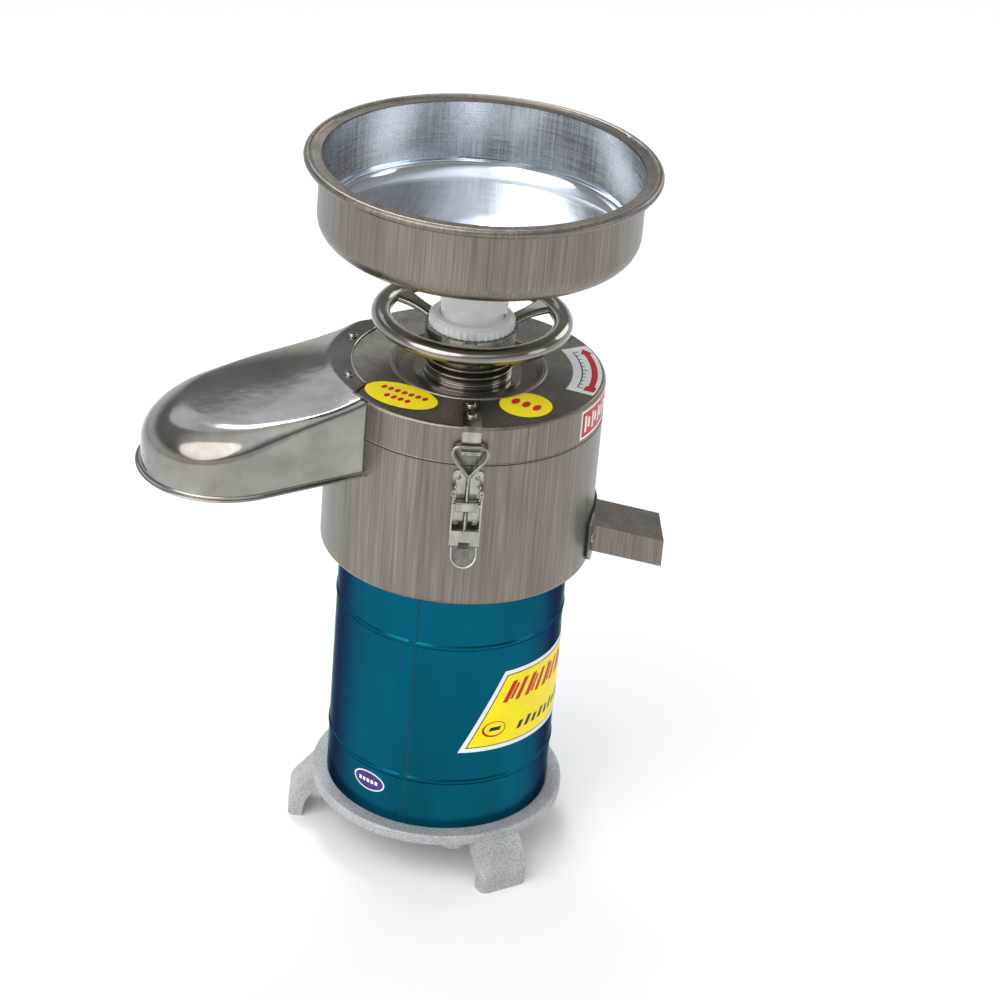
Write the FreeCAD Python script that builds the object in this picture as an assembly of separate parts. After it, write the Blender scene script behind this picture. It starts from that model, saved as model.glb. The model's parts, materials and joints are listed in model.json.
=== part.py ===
import FreeCAD, Part
import math
import os

from FreeCAD import Vector

os.makedirs("parts", exist_ok=True)

# Upright soy milk grinder, in millimetres, +Z up.
# The origin is on the machine's axis at floor level. Latches stand at the front (-Y) and
# the back (+Y), the residue hood leaves towards -X and the milk spout towards +X.

UP = Vector(0, 0, 1)
ORIGIN = Vector(0, 0, 0)

# Fits and gaps
run_fit = 0.06
shaft_fit = 0.03
seat_gap = 0.3
slide_fit = 0.1

# How far a form runs into the one it joins, and the extra length of a block that cuts
bury = 1.0
margin = 20.0

# Base casting
ring_radius = 107.7
ring_thickness = 8.5
leg_height = 39.0
leg_reach = 126.0
leg_width = 43.0
leg_tip_face = 17.0
leg_tip_thickness = 13.0
leg_root = 78.0
leg_azimuths = [57.5, 177.5, 297.5]
leg_corner = 6.0
leg_rise = 3.0
leg_shelf = 4.0
leg_arch_bulge = 9.0
leg_arch_height = 26.5
leg_arch_drop = 2.0
bench_hole_circle = 119.5
bench_hole_radius = 2.5
bench_hole_depth = 9.0
ring_edge = 2.0
hub_radius = 34.0
hub_drop = 15.0
hub_floor = 5.0
spigot_wall = 7.0
spigot_height = 43.5
spigot_rebate = 3.0
register_depth = 4.0
casing_step = 5.5
boss_radius = 14.0
boss_drop = 11.0
boss_edge = 4.0
boss_azimuths = [39.0, 159.0, 279.0]

# Motor casing
casing_radius = 95.0
casing_wall = 1.5
casing_length = 225.5
bead_heights = [46.0, 176.0]
bead_rise = 0.8
bead_width = 5.0

# Motor
stator_radius = 80.0
stator_bore = 50.5
stator_length = 70.0
air_gap = 0.5
slot_count = 24
slot_width = 6.0
slot_inner = 54.0
slot_outer = 70.0
winding_gap = 0.3
winding_overhang = 22.0
rotor_ring_length = 8.0
rotor_ring_outer = 48.0
rotor_ring_inner = 34.0
rotor_fin_length = 7.0
rotor_fin_thickness = 3.0
rotor_fin_inset = 2.0
rotor_fin_count = 12
shaft_radius = 12.5
journal_radius = 10.0
spindle_radius = 10.0
spindle_thread_radius = 8.0
shaft_tail = 2.0
shaft_shoulder = 1.0
shaft_tip = 2.0
lower_bearing_outer = 23.5
lower_bearing_width = 14.0
lower_bearing_ledge = 5.0
upper_bearing_outer = 26.0
upper_bearing_width = 15.0
bearing_race = 3.4
bearing_groove = 0.8
ball_play = 0.05
ball_count = 8
fan_radius = 66.0
fan_lift = 2.5
fan_sheet = 1.5
fan_blades = 9
fan_blade_thickness = 1.6
fan_blade_height = 13.0
fan_hub_height = 16.0
fan_hub_radius = 20.0
bolt_circle = 87.0
bolt_radius = 2.5
bolt_head_radius = 4.5
bolt_head_height = 4.0
bolt_head_room = 0.5
bolt_socket_depth = 5.0
bolt_end_gap = 0.5
cover_thickness = 12.0
cover_hub_drop = 26.0
cover_lug_radius = 6.0
cover_lug_height = 20.0
cover_skin = 4.0
cover_shaft_room = 1.5
capacitor_radius = 14.0
capacitor_length = 60.0
capacitor_offset = 62.0
capacitor_edge = 2.0
capacitor_clip_wall = 1.5
capacitor_clip_width = 14.0
capacitor_clip_reach = 28.0

# Grinding bowl
bowl_radius = 111.7
bowl_wall = 1.5
bowl_floor = 2.0
bowl_corner = 5.0
bowl_height = 127.5
collar_radius = 21.5
collar_wall = 1.5
collar_height = 22.0
seal_height = 12.0
seal_lift = 8.0
baffle_height = 109.0
baffle_width = 16.2
baffle_bore = bowl_radius - bowl_wall - baffle_width
baffle_thickness = 1.5
baffle_lip = 4.0
floor_screw_circle = 70.0
floor_screw_azimuths = [45.0, 135.0, 225.0, 315.0]
floor_screw_length = 9.0
seal_lip_gap = 3.0
seal_lip_land = 2.0

# Milk spout
spout_width = 48.0
spout_height = 24.0
spout_length = 59.0
spout_sheet = 1.2
spout_fall = 11.3
spout_lift = 9.5
flange_half_angle = 20.0
flange_lift = 3.0
flange_height = 44.0
flange_corner = 9.0
gasket_sheet = 1.6
spout_screw_angle = 16.5
screw_shank = 2.0
screw_head = 4.0
screw_head_height = 2.2
screw_end = 3.0
recess_half_width = 0.45
recess_depth = 1.1
recess_share = 0.55

# Lid
lid_inset = 0.5
lid_radius = bowl_radius - lid_inset
lid_wall = 1.5
lid_depth = 32.0
lid_edge = 3.0
lid_gasket_width = 3.2
lid_gasket_height = 1.5
bead_ring_radius = 62.0
bead_ring_section = 2.2
bead_ring_sink = 0.6
dish_depth = 6.0
dish_edge = 4.0
neck_radius = 36.0
neck_height = 34.0
neck_groove_heights = [4.0, 10.2, 16.4]
neck_groove = 1.2
neck_flange_radius = 44.0
neck_flange_thickness = 2.0

# Residue hood, whose direction and offset make it leave the bowl along a tangent
hood_azimuth = 205.0
hood_half_width = 69.3
hood_wall_inset = 7.9
hood_offset = hood_half_width + hood_wall_inset - lid_radius
hood_reach = 81.4
hood_nose_distance = lid_radius + hood_reach
hood_sheet = 1.5
hood_root_drop = 62.0
hood_fall_top = 10.5
hood_fall_hem = 3.0
hood_shoulder = 24.0
hood_hem = 4.0
hood_bend_inset = 23.2
hood_bend_distance = lid_radius - hood_bend_inset
hood_plate_width = 17.7
hood_plate_inner = lid_radius - hood_plate_width
hood_screw_inset = 10.2
hood_screw_radius = lid_radius - hood_screw_inset
hood_screw_azimuths = [157.7, 198.8]
hood_start = -40.0
hood_sector_start = 120.0
hood_sector_sweep = 130.0

# Grinding parts
dial_radius = 60.0
dial_thickness = 6.0
dial_hub_radius = 24.0
dial_hub_height = 28.0
dial_gap = 6.0
slinger_wall = 3.0
slinger_drop = 13.0
slinger_clearance = 2.5
basket_sheet = 1.0
basket_foot_width = 12.0
basket_top_gap = 3.0
basket_top_radius = baffle_bore - basket_top_gap
basket_rim_width = 6.5
basket_height = 79.0
stone_radius = 50.0
lower_stone_height = 22.0
upper_stone_height = 23.5
stone_land = 15.0
stone_dish = 9.0
stone_gap = 0.5
spindle_nut_radius = 13.0
spindle_nut_height = 8.0
stone_seat_radius = 44.0
stone_seat_thickness = 4.0
washer_radius = 17.0
washer_thickness = 2.0

# Threaded sleeve with its flange, and what stands on the neck
sleeve_wall = 7.2
sleeve_bore = 23.3
feed_bore = 20.0
sleeve_flange_thickness = 8.0
sleeve_shoulder_depth = 22.0
key_width = 6.0
key_rise = 2.5
key_length = 16.0
key_drop = 24.0
spring_wire = 3.5
spring_mean_radius = 36.5
spring_turns = 3.5
wheel_hub_wall = 7.0
wheel_hub_height = 8.4
wheel_ring_radius = 73.0
wheel_ring_half_width = 8.0
wheel_ring_half_height = 7.0
wheel_ring_lift = 14.5
spoke_azimuths = [26.5, 146.5, 266.5]
spoke_hub_width = 15.0
spoke_ring_width = 26.0
spoke_thickness = 6.0
spoke_waist = 0.85
spoke_waist_out = 2.0
spoke_waist_drop = 2.0
nut_radius = 34.7
nut_height = 9.5
nut_lip_height = 2.2
nut_lip_bore = 26.4
nut_rib_count = 40
nut_rib_radius = 1.5
nut_chamfer = 2.5

# Hopper
hopper_radius = 128.0
hopper_sheet = 1.2
hopper_corner = 18.0
hopper_wall_height = 49.3
hopper_floor_rise = 22.0
hopper_rim_reach = 12.7
hopper_rim_radius = hopper_radius + hopper_rim_reach
hopper_rim_section = 3.5
hopper_tube_radius = 23.0
socket_width = 53.0
socket_depth = 49.0
socket_height = 33.5
socket_corner = 3.0
socket_lift = 11.2
socket_overlap = 4.0

# Toggle latches
latch_azimuths = {"front": -90.0, "back": 90.0}
latch_plate_width = 23.6
latch_plate_thickness = 1.2
latch_plate_low = 72.0
latch_plate_height = 52.0
latch_plate_corner = 3.0
latch_rivet_heights = [6.0, 46.0]
latch_rivet_edge = 4.2
rivet_radius = 1.5
rivet_dome = 2.6
rivet_head_height = 1.0
rivet_tail = 1.2
ear_gap = 18.6
ear_thickness = 1.2
ear_reach = 11.5
ear_half_height = 6.5
pin_drop = 54.0
pin_out = 7.3
latch_pin_radius = 1.6
latch_pin_head = 1.1
latch_pin_head_thickness = 1.0
latch_pin_gap = 0.2
lever_wall = 1.2
lever_side_gap = 0.3
lever_length = 63.0
lever_nose = 5.0
lever_depth = 8.0
lever_back_gap = 0.7
lever_back_taper = 1.5
lever_heel = 6.0
lever_foot_taper = 2.0
lever_slot_drop = 15.0
lever_web_height = 31.0
lever_finger_bend = 22.0
lever_finger_length = 18.0
lever_end_width = 20.0
lever_slot_width = 9.0
lever_slot_height = 5.0
block_drop = 11.5
block_in = 1.5
block_half_width = 8.3
block_size = 8.0
block_edge = 1.5
trunnion_radius = 2.0
wire_radius = 1.6
hook_length = 50.5
hook_half_width = 14.0
hook_heart_height = 26.0
hook_tail = 22.0
hook_shape = [(0.42, 0.72), (0.78, 1.0)]
hook_bar_share = 0.62
hook_bar_in = 1.5
strike_width = 15.0
strike_sheet = 1.2
strike_length = 45.2
strike_inner_radius = lid_radius - strike_length
strike_bead_radius = 2.0
strike_screw_insets = [35.8, 17.8]
strike_screw_radii = [lid_radius - inset for inset in strike_screw_insets]
strike_stand_off = 2.2
strike_bend = 3.0
strike_jog = 0.6
strike_lip = 1.2
strike_lip_reach = 4.4
strike_bead_gap = 0.5

# Heights of the joints between the big pieces
base_top = leg_height + ring_thickness
casing_top = base_top + casing_length
bowl_rim = casing_top + bowl_height
lid_foot = bowl_rim + lid_gasket_height
lid_top = lid_foot + lid_depth
dish_top = lid_top - dish_depth
neck_top = dish_top + neck_height
stator_low = base_top + spigot_height
stator_high = stator_low + stator_length
floor_top = casing_top + bowl_floor
dial_low = floor_top + collar_height + dial_gap
dial_top = dial_low + dial_thickness
stone_seat = dial_low + dial_hub_height
lower_stone_top = stone_seat + lower_stone_height
upper_stone_low = lower_stone_top + stone_gap
sleeve_flange_low = upper_stone_low + upper_stone_height
sleeve_flange_top = sleeve_flange_low + sleeve_flange_thickness
sleeve_outer = sleeve_bore + sleeve_wall
wheel_hub_low = neck_top + seat_gap
wheel_hub_top = wheel_hub_low + wheel_hub_height
nut_low = wheel_hub_top + seat_gap
nut_top = nut_low + nut_height
sleeve_top = nut_top - nut_lip_height - seat_gap
lower_bearing_low = base_top - lower_bearing_width
upper_bearing_low = casing_top - cover_hub_drop
washer_low = stone_seat + lower_stone_height - stone_dish
spindle_nut_low = washer_low + washer_thickness
socket_low = nut_top + socket_lift
hopper_floor = socket_low + socket_height - socket_overlap
hopper_rim = hopper_floor + hopper_floor_rise + hopper_corner + hopper_wall_height
tube_low = sleeve_top - sleeve_shoulder_depth + seat_gap
capacitor_height = leg_height - seat_gap - capacitor_clip_wall - capacitor_radius
flange_low = casing_top + flange_lift
flange_middle = flange_low + flange_height / 2

# Radii that follow from the values above
casing_inner = casing_radius - casing_wall
spigot_outer = stator_radius + spigot_rebate
gasket_inner = bowl_radius + run_fit
flange_inner = gasket_inner + gasket_sheet + run_fit


def export(name, shape):
    """Write one piece as parts/NAME.step."""
    shape.exportStep(f"parts/{name}.step")


def disc(radius, low, high):
    """Upright cylinder on the axis between two heights."""
    return Part.makeCylinder(radius, high - low, Vector(0, 0, low), UP)


def ring(inner, outer, low, high):
    """Upright tube on the axis between two heights."""
    return disc(outer, low, high).cut(disc(inner, low - bury, high + bury))


def box(x, y, z):
    """Block between (low, high) pairs along X, Y and Z."""
    return Part.makeBox(x[1] - x[0], y[1] - y[0], z[1] - z[0], Vector(x[0], y[0], z[0]))


def rod(radius, start, end):
    """Cylinder from one point to another."""
    run = end.sub(start)
    return Part.makeCylinder(radius, run.Length, start, run)


def turned(shape, degrees):
    """Copy of a shape, turned about the machine's axis."""
    copy = shape.copy()
    copy.rotate(ORIGIN, UP, degrees)
    return copy


def around(shape, azimuths):
    """Separate copies of a shape modelled at azimuth 0, one at each azimuth."""
    return Part.makeCompound([turned(shape, azimuth) for azimuth in azimuths])


def spin(points):
    """Solid of revolution of a closed outline given as (radius, height) points."""
    wire = Part.makePolygon([Vector(r, 0, z) for r, z in points + points[:1]])
    return Part.Face(wire).revolve(ORIGIN, UP, 360)


def plan_prism(wire, low, high):
    """Upright prism on a closed flat wire drawn at height 0."""
    face = Part.Face(wire)
    face.translate(Vector(0, 0, low))
    return face.extrude(Vector(0, 0, high - low))


def side_prism(points, half_width):
    """Prism across Y on an outline given as (X, Z) points."""
    wire = Part.makePolygon([Vector(x, -half_width, z) for x, z in points + points[:1]])
    return Part.Face(wire).extrude(Vector(0, 2 * half_width, 0))


def polar(radius, azimuth, height):
    """Point at a radius, an azimuth in degrees and a height."""
    angle = math.radians(azimuth)
    return Vector(radius * math.cos(angle), radius * math.sin(angle), height)


def upright(edge):
    """Whether an edge is a straight one that stands upright."""
    ends = [vertex.Point for vertex in edge.Vertexes]
    return len(ends) == 2 and math.hypot(ends[0].x - ends[1].x, ends[0].y - ends[1].y) < 0.01


def edges_at(shape, height):
    """Edges of a shape that lie flat at one height."""
    boxes = [(e, e.BoundBox) for e in shape.Edges]
    return [e for e, b in boxes if abs(b.ZMin - height) < 0.1 and abs(b.ZMax - height) < 0.1]


def fuse(shapes):
    """One solid from several that overlap."""
    return shapes[0].multiFuse(shapes[1:]).removeSplitter()


def leg():
    """One foot at azimuth 0: a sloping top, an upright tip and an arched underside."""
    inner_foot = leg_reach - leg_tip_thickness
    arch_top = Vector(leg_root, 0, leg_height - leg_arch_drop)
    outline = [
        arch_top,
        Vector(leg_root, 0, leg_height + leg_rise),
        Vector(ring_radius - leg_shelf, 0, leg_height + leg_rise),
        Vector(ring_radius, 0, leg_height),
        Vector(leg_reach, 0, leg_tip_face),
        Vector(leg_reach, 0, 0),
        Vector(inner_foot, 0, 0),
    ]
    edges = [Part.LineSegment(a, b).toShape() for a, b in zip(outline, outline[1:])]
    arch_middle = Vector(inner_foot - leg_arch_bulge, 0, leg_arch_height)
    edges.append(Part.Arc(outline[-1], arch_middle, arch_top).toShape())
    solid = Part.Face(Part.Wire(edges)).extrude(Vector(0, leg_width, 0))
    solid.translate(Vector(0, -leg_width / 2, 0))
    tip = [e for e in solid.Edges if upright(e) and abs(e.CenterOfMass.x - leg_reach) < 0.1]
    return solid.makeFillet(leg_corner, tip)


def base_casting():
    """Ring plate, legs with a blind screw hole each, bearing hub, bolt bosses and the stator's spigot."""
    plate = disc(ring_radius, leg_height, base_top)
    plate = plate.makeFillet(ring_edge, edges_at(plate, base_top))
    hub = disc(hub_radius, leg_height - hub_drop, base_top)
    boss_low = leg_height - boss_drop
    boss = Part.makeCylinder(boss_radius, boss_drop + bury, Vector(bolt_circle, 0, boss_low), UP)
    boss = boss.makeFillet(boss_edge, edges_at(boss, boss_low))
    bosses = [turned(boss, azimuth) for azimuth in boss_azimuths]
    legs = [turned(leg(), azimuth) for azimuth in leg_azimuths]
    step = ring(spigot_outer - bury, casing_inner - slide_fit, base_top - bury, base_top + casing_step)
    spigot = ring(spigot_outer - spigot_wall, spigot_outer, base_top - bury, stator_low + register_depth)
    register = disc(stator_radius + run_fit, stator_low, stator_low + register_depth + bury)
    body = fuse([plate, hub, spigot, step] + bosses + legs).cut(register)
    pocket = disc(lower_bearing_outer + run_fit, lower_bearing_low, base_top + bury)
    relief = disc(lower_bearing_outer - lower_bearing_ledge, leg_height - hub_drop + hub_floor, base_top)
    body = body.cut(pocket).cut(relief)
    hole = Part.makeCylinder(bolt_radius + run_fit, boss_drop + ring_thickness + margin,
                             Vector(bolt_circle, 0, boss_low - bury), UP)
    socket = Part.makeCylinder(bolt_head_radius + bolt_head_room, bolt_socket_depth + bury,
                               Vector(bolt_circle, 0, boss_low - bury), UP)
    bench_hole = Part.makeCylinder(bench_hole_radius, bench_hole_depth + bury, Vector(bench_hole_circle, 0, -bury), UP)
    body = body.cut(around(hole, boss_azimuths)).cut(around(socket, boss_azimuths))
    return body.cut(around(bench_hole, leg_azimuths))


def ball_bearing(shaft, outer, width, low):
    """Deep-groove ball bearing: two races with a groove each, and a row of balls."""
    bore = shaft + shaft_fit
    high = low + width
    middle = (low + high) / 2
    pitch = (bore + outer) / 2
    ball = (outer - bore) / 2 - bearing_race + bearing_groove
    groove = Part.makeTorus(pitch, ball + ball_play, Vector(0, 0, middle))
    inner_race = ring(bore, bore + bearing_race, low, high).cut(groove)
    outer_race = ring(outer - bearing_race, outer, low, high).cut(groove)
    balls = [Part.makeSphere(ball, polar(pitch, 360 * i / ball_count, middle)) for i in range(ball_count)]
    return Part.makeCompound([inner_race, outer_race] + balls)


def motor_casing():
    """Rolled steel tube with two swaged beads."""
    inner = casing_inner
    outer = casing_radius
    outline = [(inner, base_top), (outer, base_top)]
    for height in bead_heights:
        middle = base_top + height
        outline += [(outer, middle - bead_width / 2), (outer + bead_rise, middle - bead_width / 5)]
        outline += [(outer + bead_rise, middle + bead_width / 5), (outer, middle + bead_width / 2)]
    outline += [(outer, casing_top), (inner, casing_top)]
    return spin(outline)


def slots(width, inner, outer, low, high):
    """Radial bars that fill the stator's slots."""
    bar = box((inner, outer), (-width / 2, width / 2), (low, high))
    return [turned(bar, 360 * i / slot_count) for i in range(slot_count)]


def stator_core():
    """Laminated ring with its winding slots."""
    core = ring(stator_bore, stator_radius, stator_low, stator_high)
    bars = slots(slot_width, slot_inner, slot_outer, stator_low - bury, stator_high + bury)
    return core.cut(Part.makeCompound(bars))


def stator_windings():
    """Copper bars in the slots and the end turns above and below."""
    width = slot_width - 2 * winding_gap
    inner = slot_inner + winding_gap
    outer = slot_outer - winding_gap
    bars = slots(width, inner, outer, stator_low - 2 * bury, stator_high + 2 * bury)
    low = ring(inner, outer, stator_low - winding_overhang, stator_low - winding_gap)
    high = ring(inner, outer, stator_high + winding_gap, stator_high + winding_overhang)
    return low.multiFuse([high] + bars)


def rotor():
    """Rotor core with its cast end rings and their fins."""
    bore = shaft_radius + shaft_fit
    parts = [ring(bore, stator_bore - air_gap, stator_low, stator_high)]
    half = rotor_fin_thickness / 2
    for face, sign in ((stator_low, -1), (stator_high, 1)):
        low, high = sorted((face - sign * bury, face + sign * rotor_ring_length))
        parts.append(ring(rotor_ring_inner, rotor_ring_outer, low, high))
        span = tuple(sorted((face, face + sign * (rotor_ring_length + rotor_fin_length))))
        fin = box((rotor_ring_inner + rotor_fin_inset, rotor_ring_outer - rotor_fin_inset), (-half, half), span)
        parts += [turned(fin, 360 * i / rotor_fin_count) for i in range(rotor_fin_count)]
    return fuse(parts)


def motor_shaft():
    """Stepped shaft from the lower journal up to the spindle thread."""
    low = lower_bearing_low - shaft_tail
    top = spindle_nut_low + spindle_nut_height + shaft_tip
    outline = [
        (0, low),
        (journal_radius, low),
        (journal_radius, base_top + shaft_shoulder),
        (shaft_radius, base_top + shaft_shoulder),
        (shaft_radius, dial_low),
        (spindle_radius, dial_low),
        (spindle_radius, spindle_nut_low - washer_thickness / 2),
        (spindle_thread_radius, spindle_nut_low - washer_thickness / 2),
        (spindle_thread_radius, top - shaft_tip / 2),
        (spindle_thread_radius - shaft_tip / 2, top),
        (0, top),
    ]
    return spin(outline)


def cooling_fan():
    """Fan on the shaft under the rotor that stirs the air inside the casing."""
    low = base_top + fan_lift
    bore = shaft_radius + shaft_fit
    hub = ring(bore, fan_hub_radius, low, low + fan_hub_height)
    plate = ring(bore, fan_radius, low, low + fan_sheet)
    half = fan_blade_thickness / 2
    blade = box((fan_hub_radius - bury, fan_radius - bury), (-half, half), (low, low + fan_blade_height))
    blades = [turned(blade, 360 * i / fan_blades) for i in range(fan_blades)]
    return fuse([hub, plate] + blades)


def upper_end_cover():
    """Cast cover that closes the casing, carries the upper bearing and bears on the stator."""
    low = casing_top - cover_thickness
    plate = disc(casing_inner - slide_fit, low, casing_top)
    hub = disc(hub_radius, upper_bearing_low, casing_top)
    skirt = ring(spigot_outer - spigot_wall, spigot_outer, stator_high - register_depth, low + bury)
    lug_low = casing_top - cover_lug_height
    lug = Part.makeCylinder(cover_lug_radius, cover_lug_height, Vector(bolt_circle, 0, lug_low), UP)
    body = fuse([plate, hub, skirt] + [turned(lug, azimuth) for azimuth in boss_azimuths])
    register = disc(stator_radius + run_fit, stator_high - register_depth - bury, stator_high)
    bearing_top = upper_bearing_low + upper_bearing_width
    pocket = disc(upper_bearing_outer + run_fit, upper_bearing_low - bury, bearing_top)
    shaft_hole = disc(shaft_radius + cover_shaft_room, upper_bearing_low, casing_top + bury)
    bolt_hole = Part.makeCylinder(bolt_radius + run_fit, cover_lug_height,
                                  Vector(bolt_circle, 0, lug_low - cover_skin), UP)
    screw_hole = Part.makeCylinder(screw_shank + run_fit, cover_thickness + 2 * bury,
                                   Vector(floor_screw_circle, 0, low - bury), UP)
    outside = ring(casing_inner - slide_fit, casing_radius + margin, stator_high, casing_top + bury)
    for cutter in (register, pocket, shaft_hole, around(bolt_hole, boss_azimuths),
                   around(screw_hole, floor_screw_azimuths), outside):
        body = body.cut(cutter)
    return body


def through_bolts():
    """Three long bolts that clamp the base, the stator and the end cover together."""
    head_top = leg_height - boss_drop + bolt_socket_depth
    shank_top = casing_top - cover_skin - bolt_end_gap
    low = head_top - bury
    shank = Part.makeCylinder(bolt_radius, shank_top - low, Vector(bolt_circle, 0, low), UP)
    head = Part.makeCylinder(bolt_head_radius, bolt_head_height,
                             Vector(bolt_circle, 0, head_top - bolt_head_height), UP)
    return around(shank.fuse(head).removeSplitter(), boss_azimuths)


def capacitor_rod(radius, half_length):
    """Rod along Y on the capacitor's own axis under the base plate."""
    start = Vector(capacitor_offset, -half_length, capacitor_height)
    return rod(radius, start, Vector(capacitor_offset, half_length, capacitor_height))


def capacitor():
    """Running capacitor lying under the base plate between two legs."""
    can = capacitor_rod(capacitor_radius, capacitor_length / 2)
    rims = [e for e in can.Edges if e.Length > 6 * capacitor_radius]
    return can.makeFillet(capacitor_edge, rims)


def capacitor_clip():
    """Band that holds the capacitor up to the base plate."""
    half = capacitor_clip_width / 2
    inner = capacitor_radius + run_fit
    band = capacitor_rod(inner + capacitor_clip_wall, half)
    ends = (capacitor_offset - capacitor_clip_reach, capacitor_offset + capacitor_clip_reach)
    foot = box(ends, (-half, half), (leg_height - capacitor_clip_wall, leg_height))
    return band.fuse(foot).cut(capacitor_rod(inner, half + bury))


def annular_sector(inner, outer, low, high, start, sweep):
    """Part of an upright ring that starts at one azimuth and sweeps round."""
    face = Part.makePolygon([Vector(inner, 0, low), Vector(outer, 0, low), Vector(outer, 0, high),
                             Vector(inner, 0, high), Vector(inner, 0, low)])
    return turned(Part.Face(face).revolve(ORIGIN, UP, sweep), start)


def hood_slope(low_side):
    """How far the hood's hem or its top falls for each millimetre outwards."""
    return math.tan(math.radians(hood_fall_hem if low_side else hood_fall_top))


def hem_height(distance, lift):
    """Height of the hood's hem line at a distance along the hood, raised by a lift."""
    return lid_top - hood_root_drop + lift - (distance - hood_bend_distance) * hood_slope(True)


def hood_core(gap):
    """Space inside the hood's sheet, or its outside for a gap of 0, in the hood's own frame."""
    half = hood_half_width - gap
    nose = hood_nose_distance
    far = nose + half + margin
    top = lid_top + hood_sheet - gap
    wire = Part.Wire([
        Part.LineSegment(Vector(hood_start, -half, 0), Vector(nose, -half, 0)).toShape(),
        Part.Arc(Vector(nose, -half, 0), Vector(nose + half, 0, 0), Vector(nose, half, 0)).toShape(),
        Part.LineSegment(Vector(nose, half, 0), Vector(hood_start, half, 0)).toShape(),
        Part.LineSegment(Vector(hood_start, half, 0), Vector(hood_start, -half, 0)).toShape(),
    ])
    outline = [
        (hood_start, top),
        (hood_bend_distance, top),
        (far, top - (far - hood_bend_distance) * hood_slope(False)),
        (far, hem_height(far, 0)),
        (hood_start, hem_height(hood_start, 0)),
    ]
    solid = plan_prism(wire, casing_top, lid_top + margin).common(side_prism(outline, half + margin))
    above_hem = hem_height(hood_start, margin)
    shoulder = [e for e in solid.Edges if e.CenterOfMass.z > above_hem and on_wall(e, half)]
    return solid.makeFillet(hood_shoulder - gap, shoulder)


def on_wall(edge, half):
    """Whether an edge is where the hood's top meets its wall."""
    span = edge.LastParameter - edge.FirstParameter
    points = [edge.valueAt(edge.FirstParameter + span * t) for t in (0.1, 0.5, 0.9)]
    level = abs(points[0].z - points[2].z) < 0.45 * edge.Length
    return level and all(abs(math.hypot(max(p.x - hood_nose_distance, 0), p.y) - half) < 0.5 for p in points)


def place_hood(shape):
    """Move a shape from the hood's own frame to its tangent place on the bowl."""
    shape.translate(Vector(0, hood_offset, 0))
    return turned(shape, hood_azimuth)


def hood_side(inner, outer, low, high):
    """Part of an upright ring on the hood's side of the machine."""
    return annular_sector(inner, outer, low, high, hood_sector_start, hood_sector_sweep)


def hood_inside():
    """The hood's hollow, in its place."""
    return place_hood(hood_core(hood_sheet))


def residue_hood():
    """Drawn sheet hood, open below, whose top plate lies on the lid."""
    inner = hood_core(hood_sheet)
    below = inner.copy()
    below.translate(Vector(0, 0, -hood_sheet))
    shell = hood_core(0).cut(inner).cut(below)
    shell = place_hood(shell.fuse(hood_lip()))
    shell = shell.cut(disc(bowl_radius + seat_gap, casing_top, lid_top))
    shell = shell.cut(disc(hood_plate_inner, lid_top - bury, lid_top + margin))
    shell = shell.common(hood_side(hood_plate_inner - bury, 4 * bowl_radius, casing_top, lid_top + margin))
    shell = shell.cut(Part.makeCompound(hood_screw_holes()))
    return max(shell.Solids, key=lambda solid: solid.Volume)


def hood_lip():
    """Hem turned outwards round the hood's lower edge."""
    low = hood_core(-hood_hem)
    high = low.copy()
    high.translate(Vector(0, 0, hood_sheet))
    reach = hood_nose_distance + hood_half_width + 2 * margin
    start = hood_start - margin
    lift = hood_sheet + bury
    above = side_prism([
        (start, hem_height(start, lift)),
        (reach, hem_height(reach, lift)),
        (reach, lid_top + 3 * margin),
        (start, lid_top + 3 * margin),
    ], hood_half_width + 3 * margin)
    return low.cut(high).cut(hood_core(hood_sheet)).cut(above)


def hood_screw_holes():
    """Rods that cut the holes of the hood's screws through the hood's plate and the lid."""
    return [rod(screw_shank + run_fit, polar(hood_screw_radius, azimuth, lid_top - 2 * screw_end),
                polar(hood_screw_radius, azimuth, lid_top + 2 * screw_end)) for azimuth in hood_screw_azimuths]


def top_screw(seat):
    """Upright pan-head screw on the axis that holds a sheet to the lid."""
    shank = disc(screw_shank, lid_top - lid_wall - screw_end, seat + bury / 2)
    return pan_head(screw_head, screw_head_height, seat).fuse(shank)


def hood_screws():
    """Pan-head screws that hold the hood's top plate to the lid."""
    screws = []
    for azimuth in hood_screw_azimuths:
        screw = top_screw(lid_top + hood_sheet)
        screw.translate(polar(hood_screw_radius, azimuth, 0))
        screws.append(screw)
    return Part.makeCompound(screws)


def pan_head(radius, height, seat):
    """Domed screw head on the axis, with a cross recess."""
    dome = disc(radius, seat, seat + height)
    dome = dome.makeFillet(min(height * 0.8, radius * 0.6), edges_at(dome, seat + height))
    reach = radius * recess_share
    bar = box((-reach, reach), (-recess_half_width, recess_half_width),
              (seat + height - recess_depth, seat + height + bury))
    return dome.cut(bar).cut(turned(bar, 90))


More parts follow.
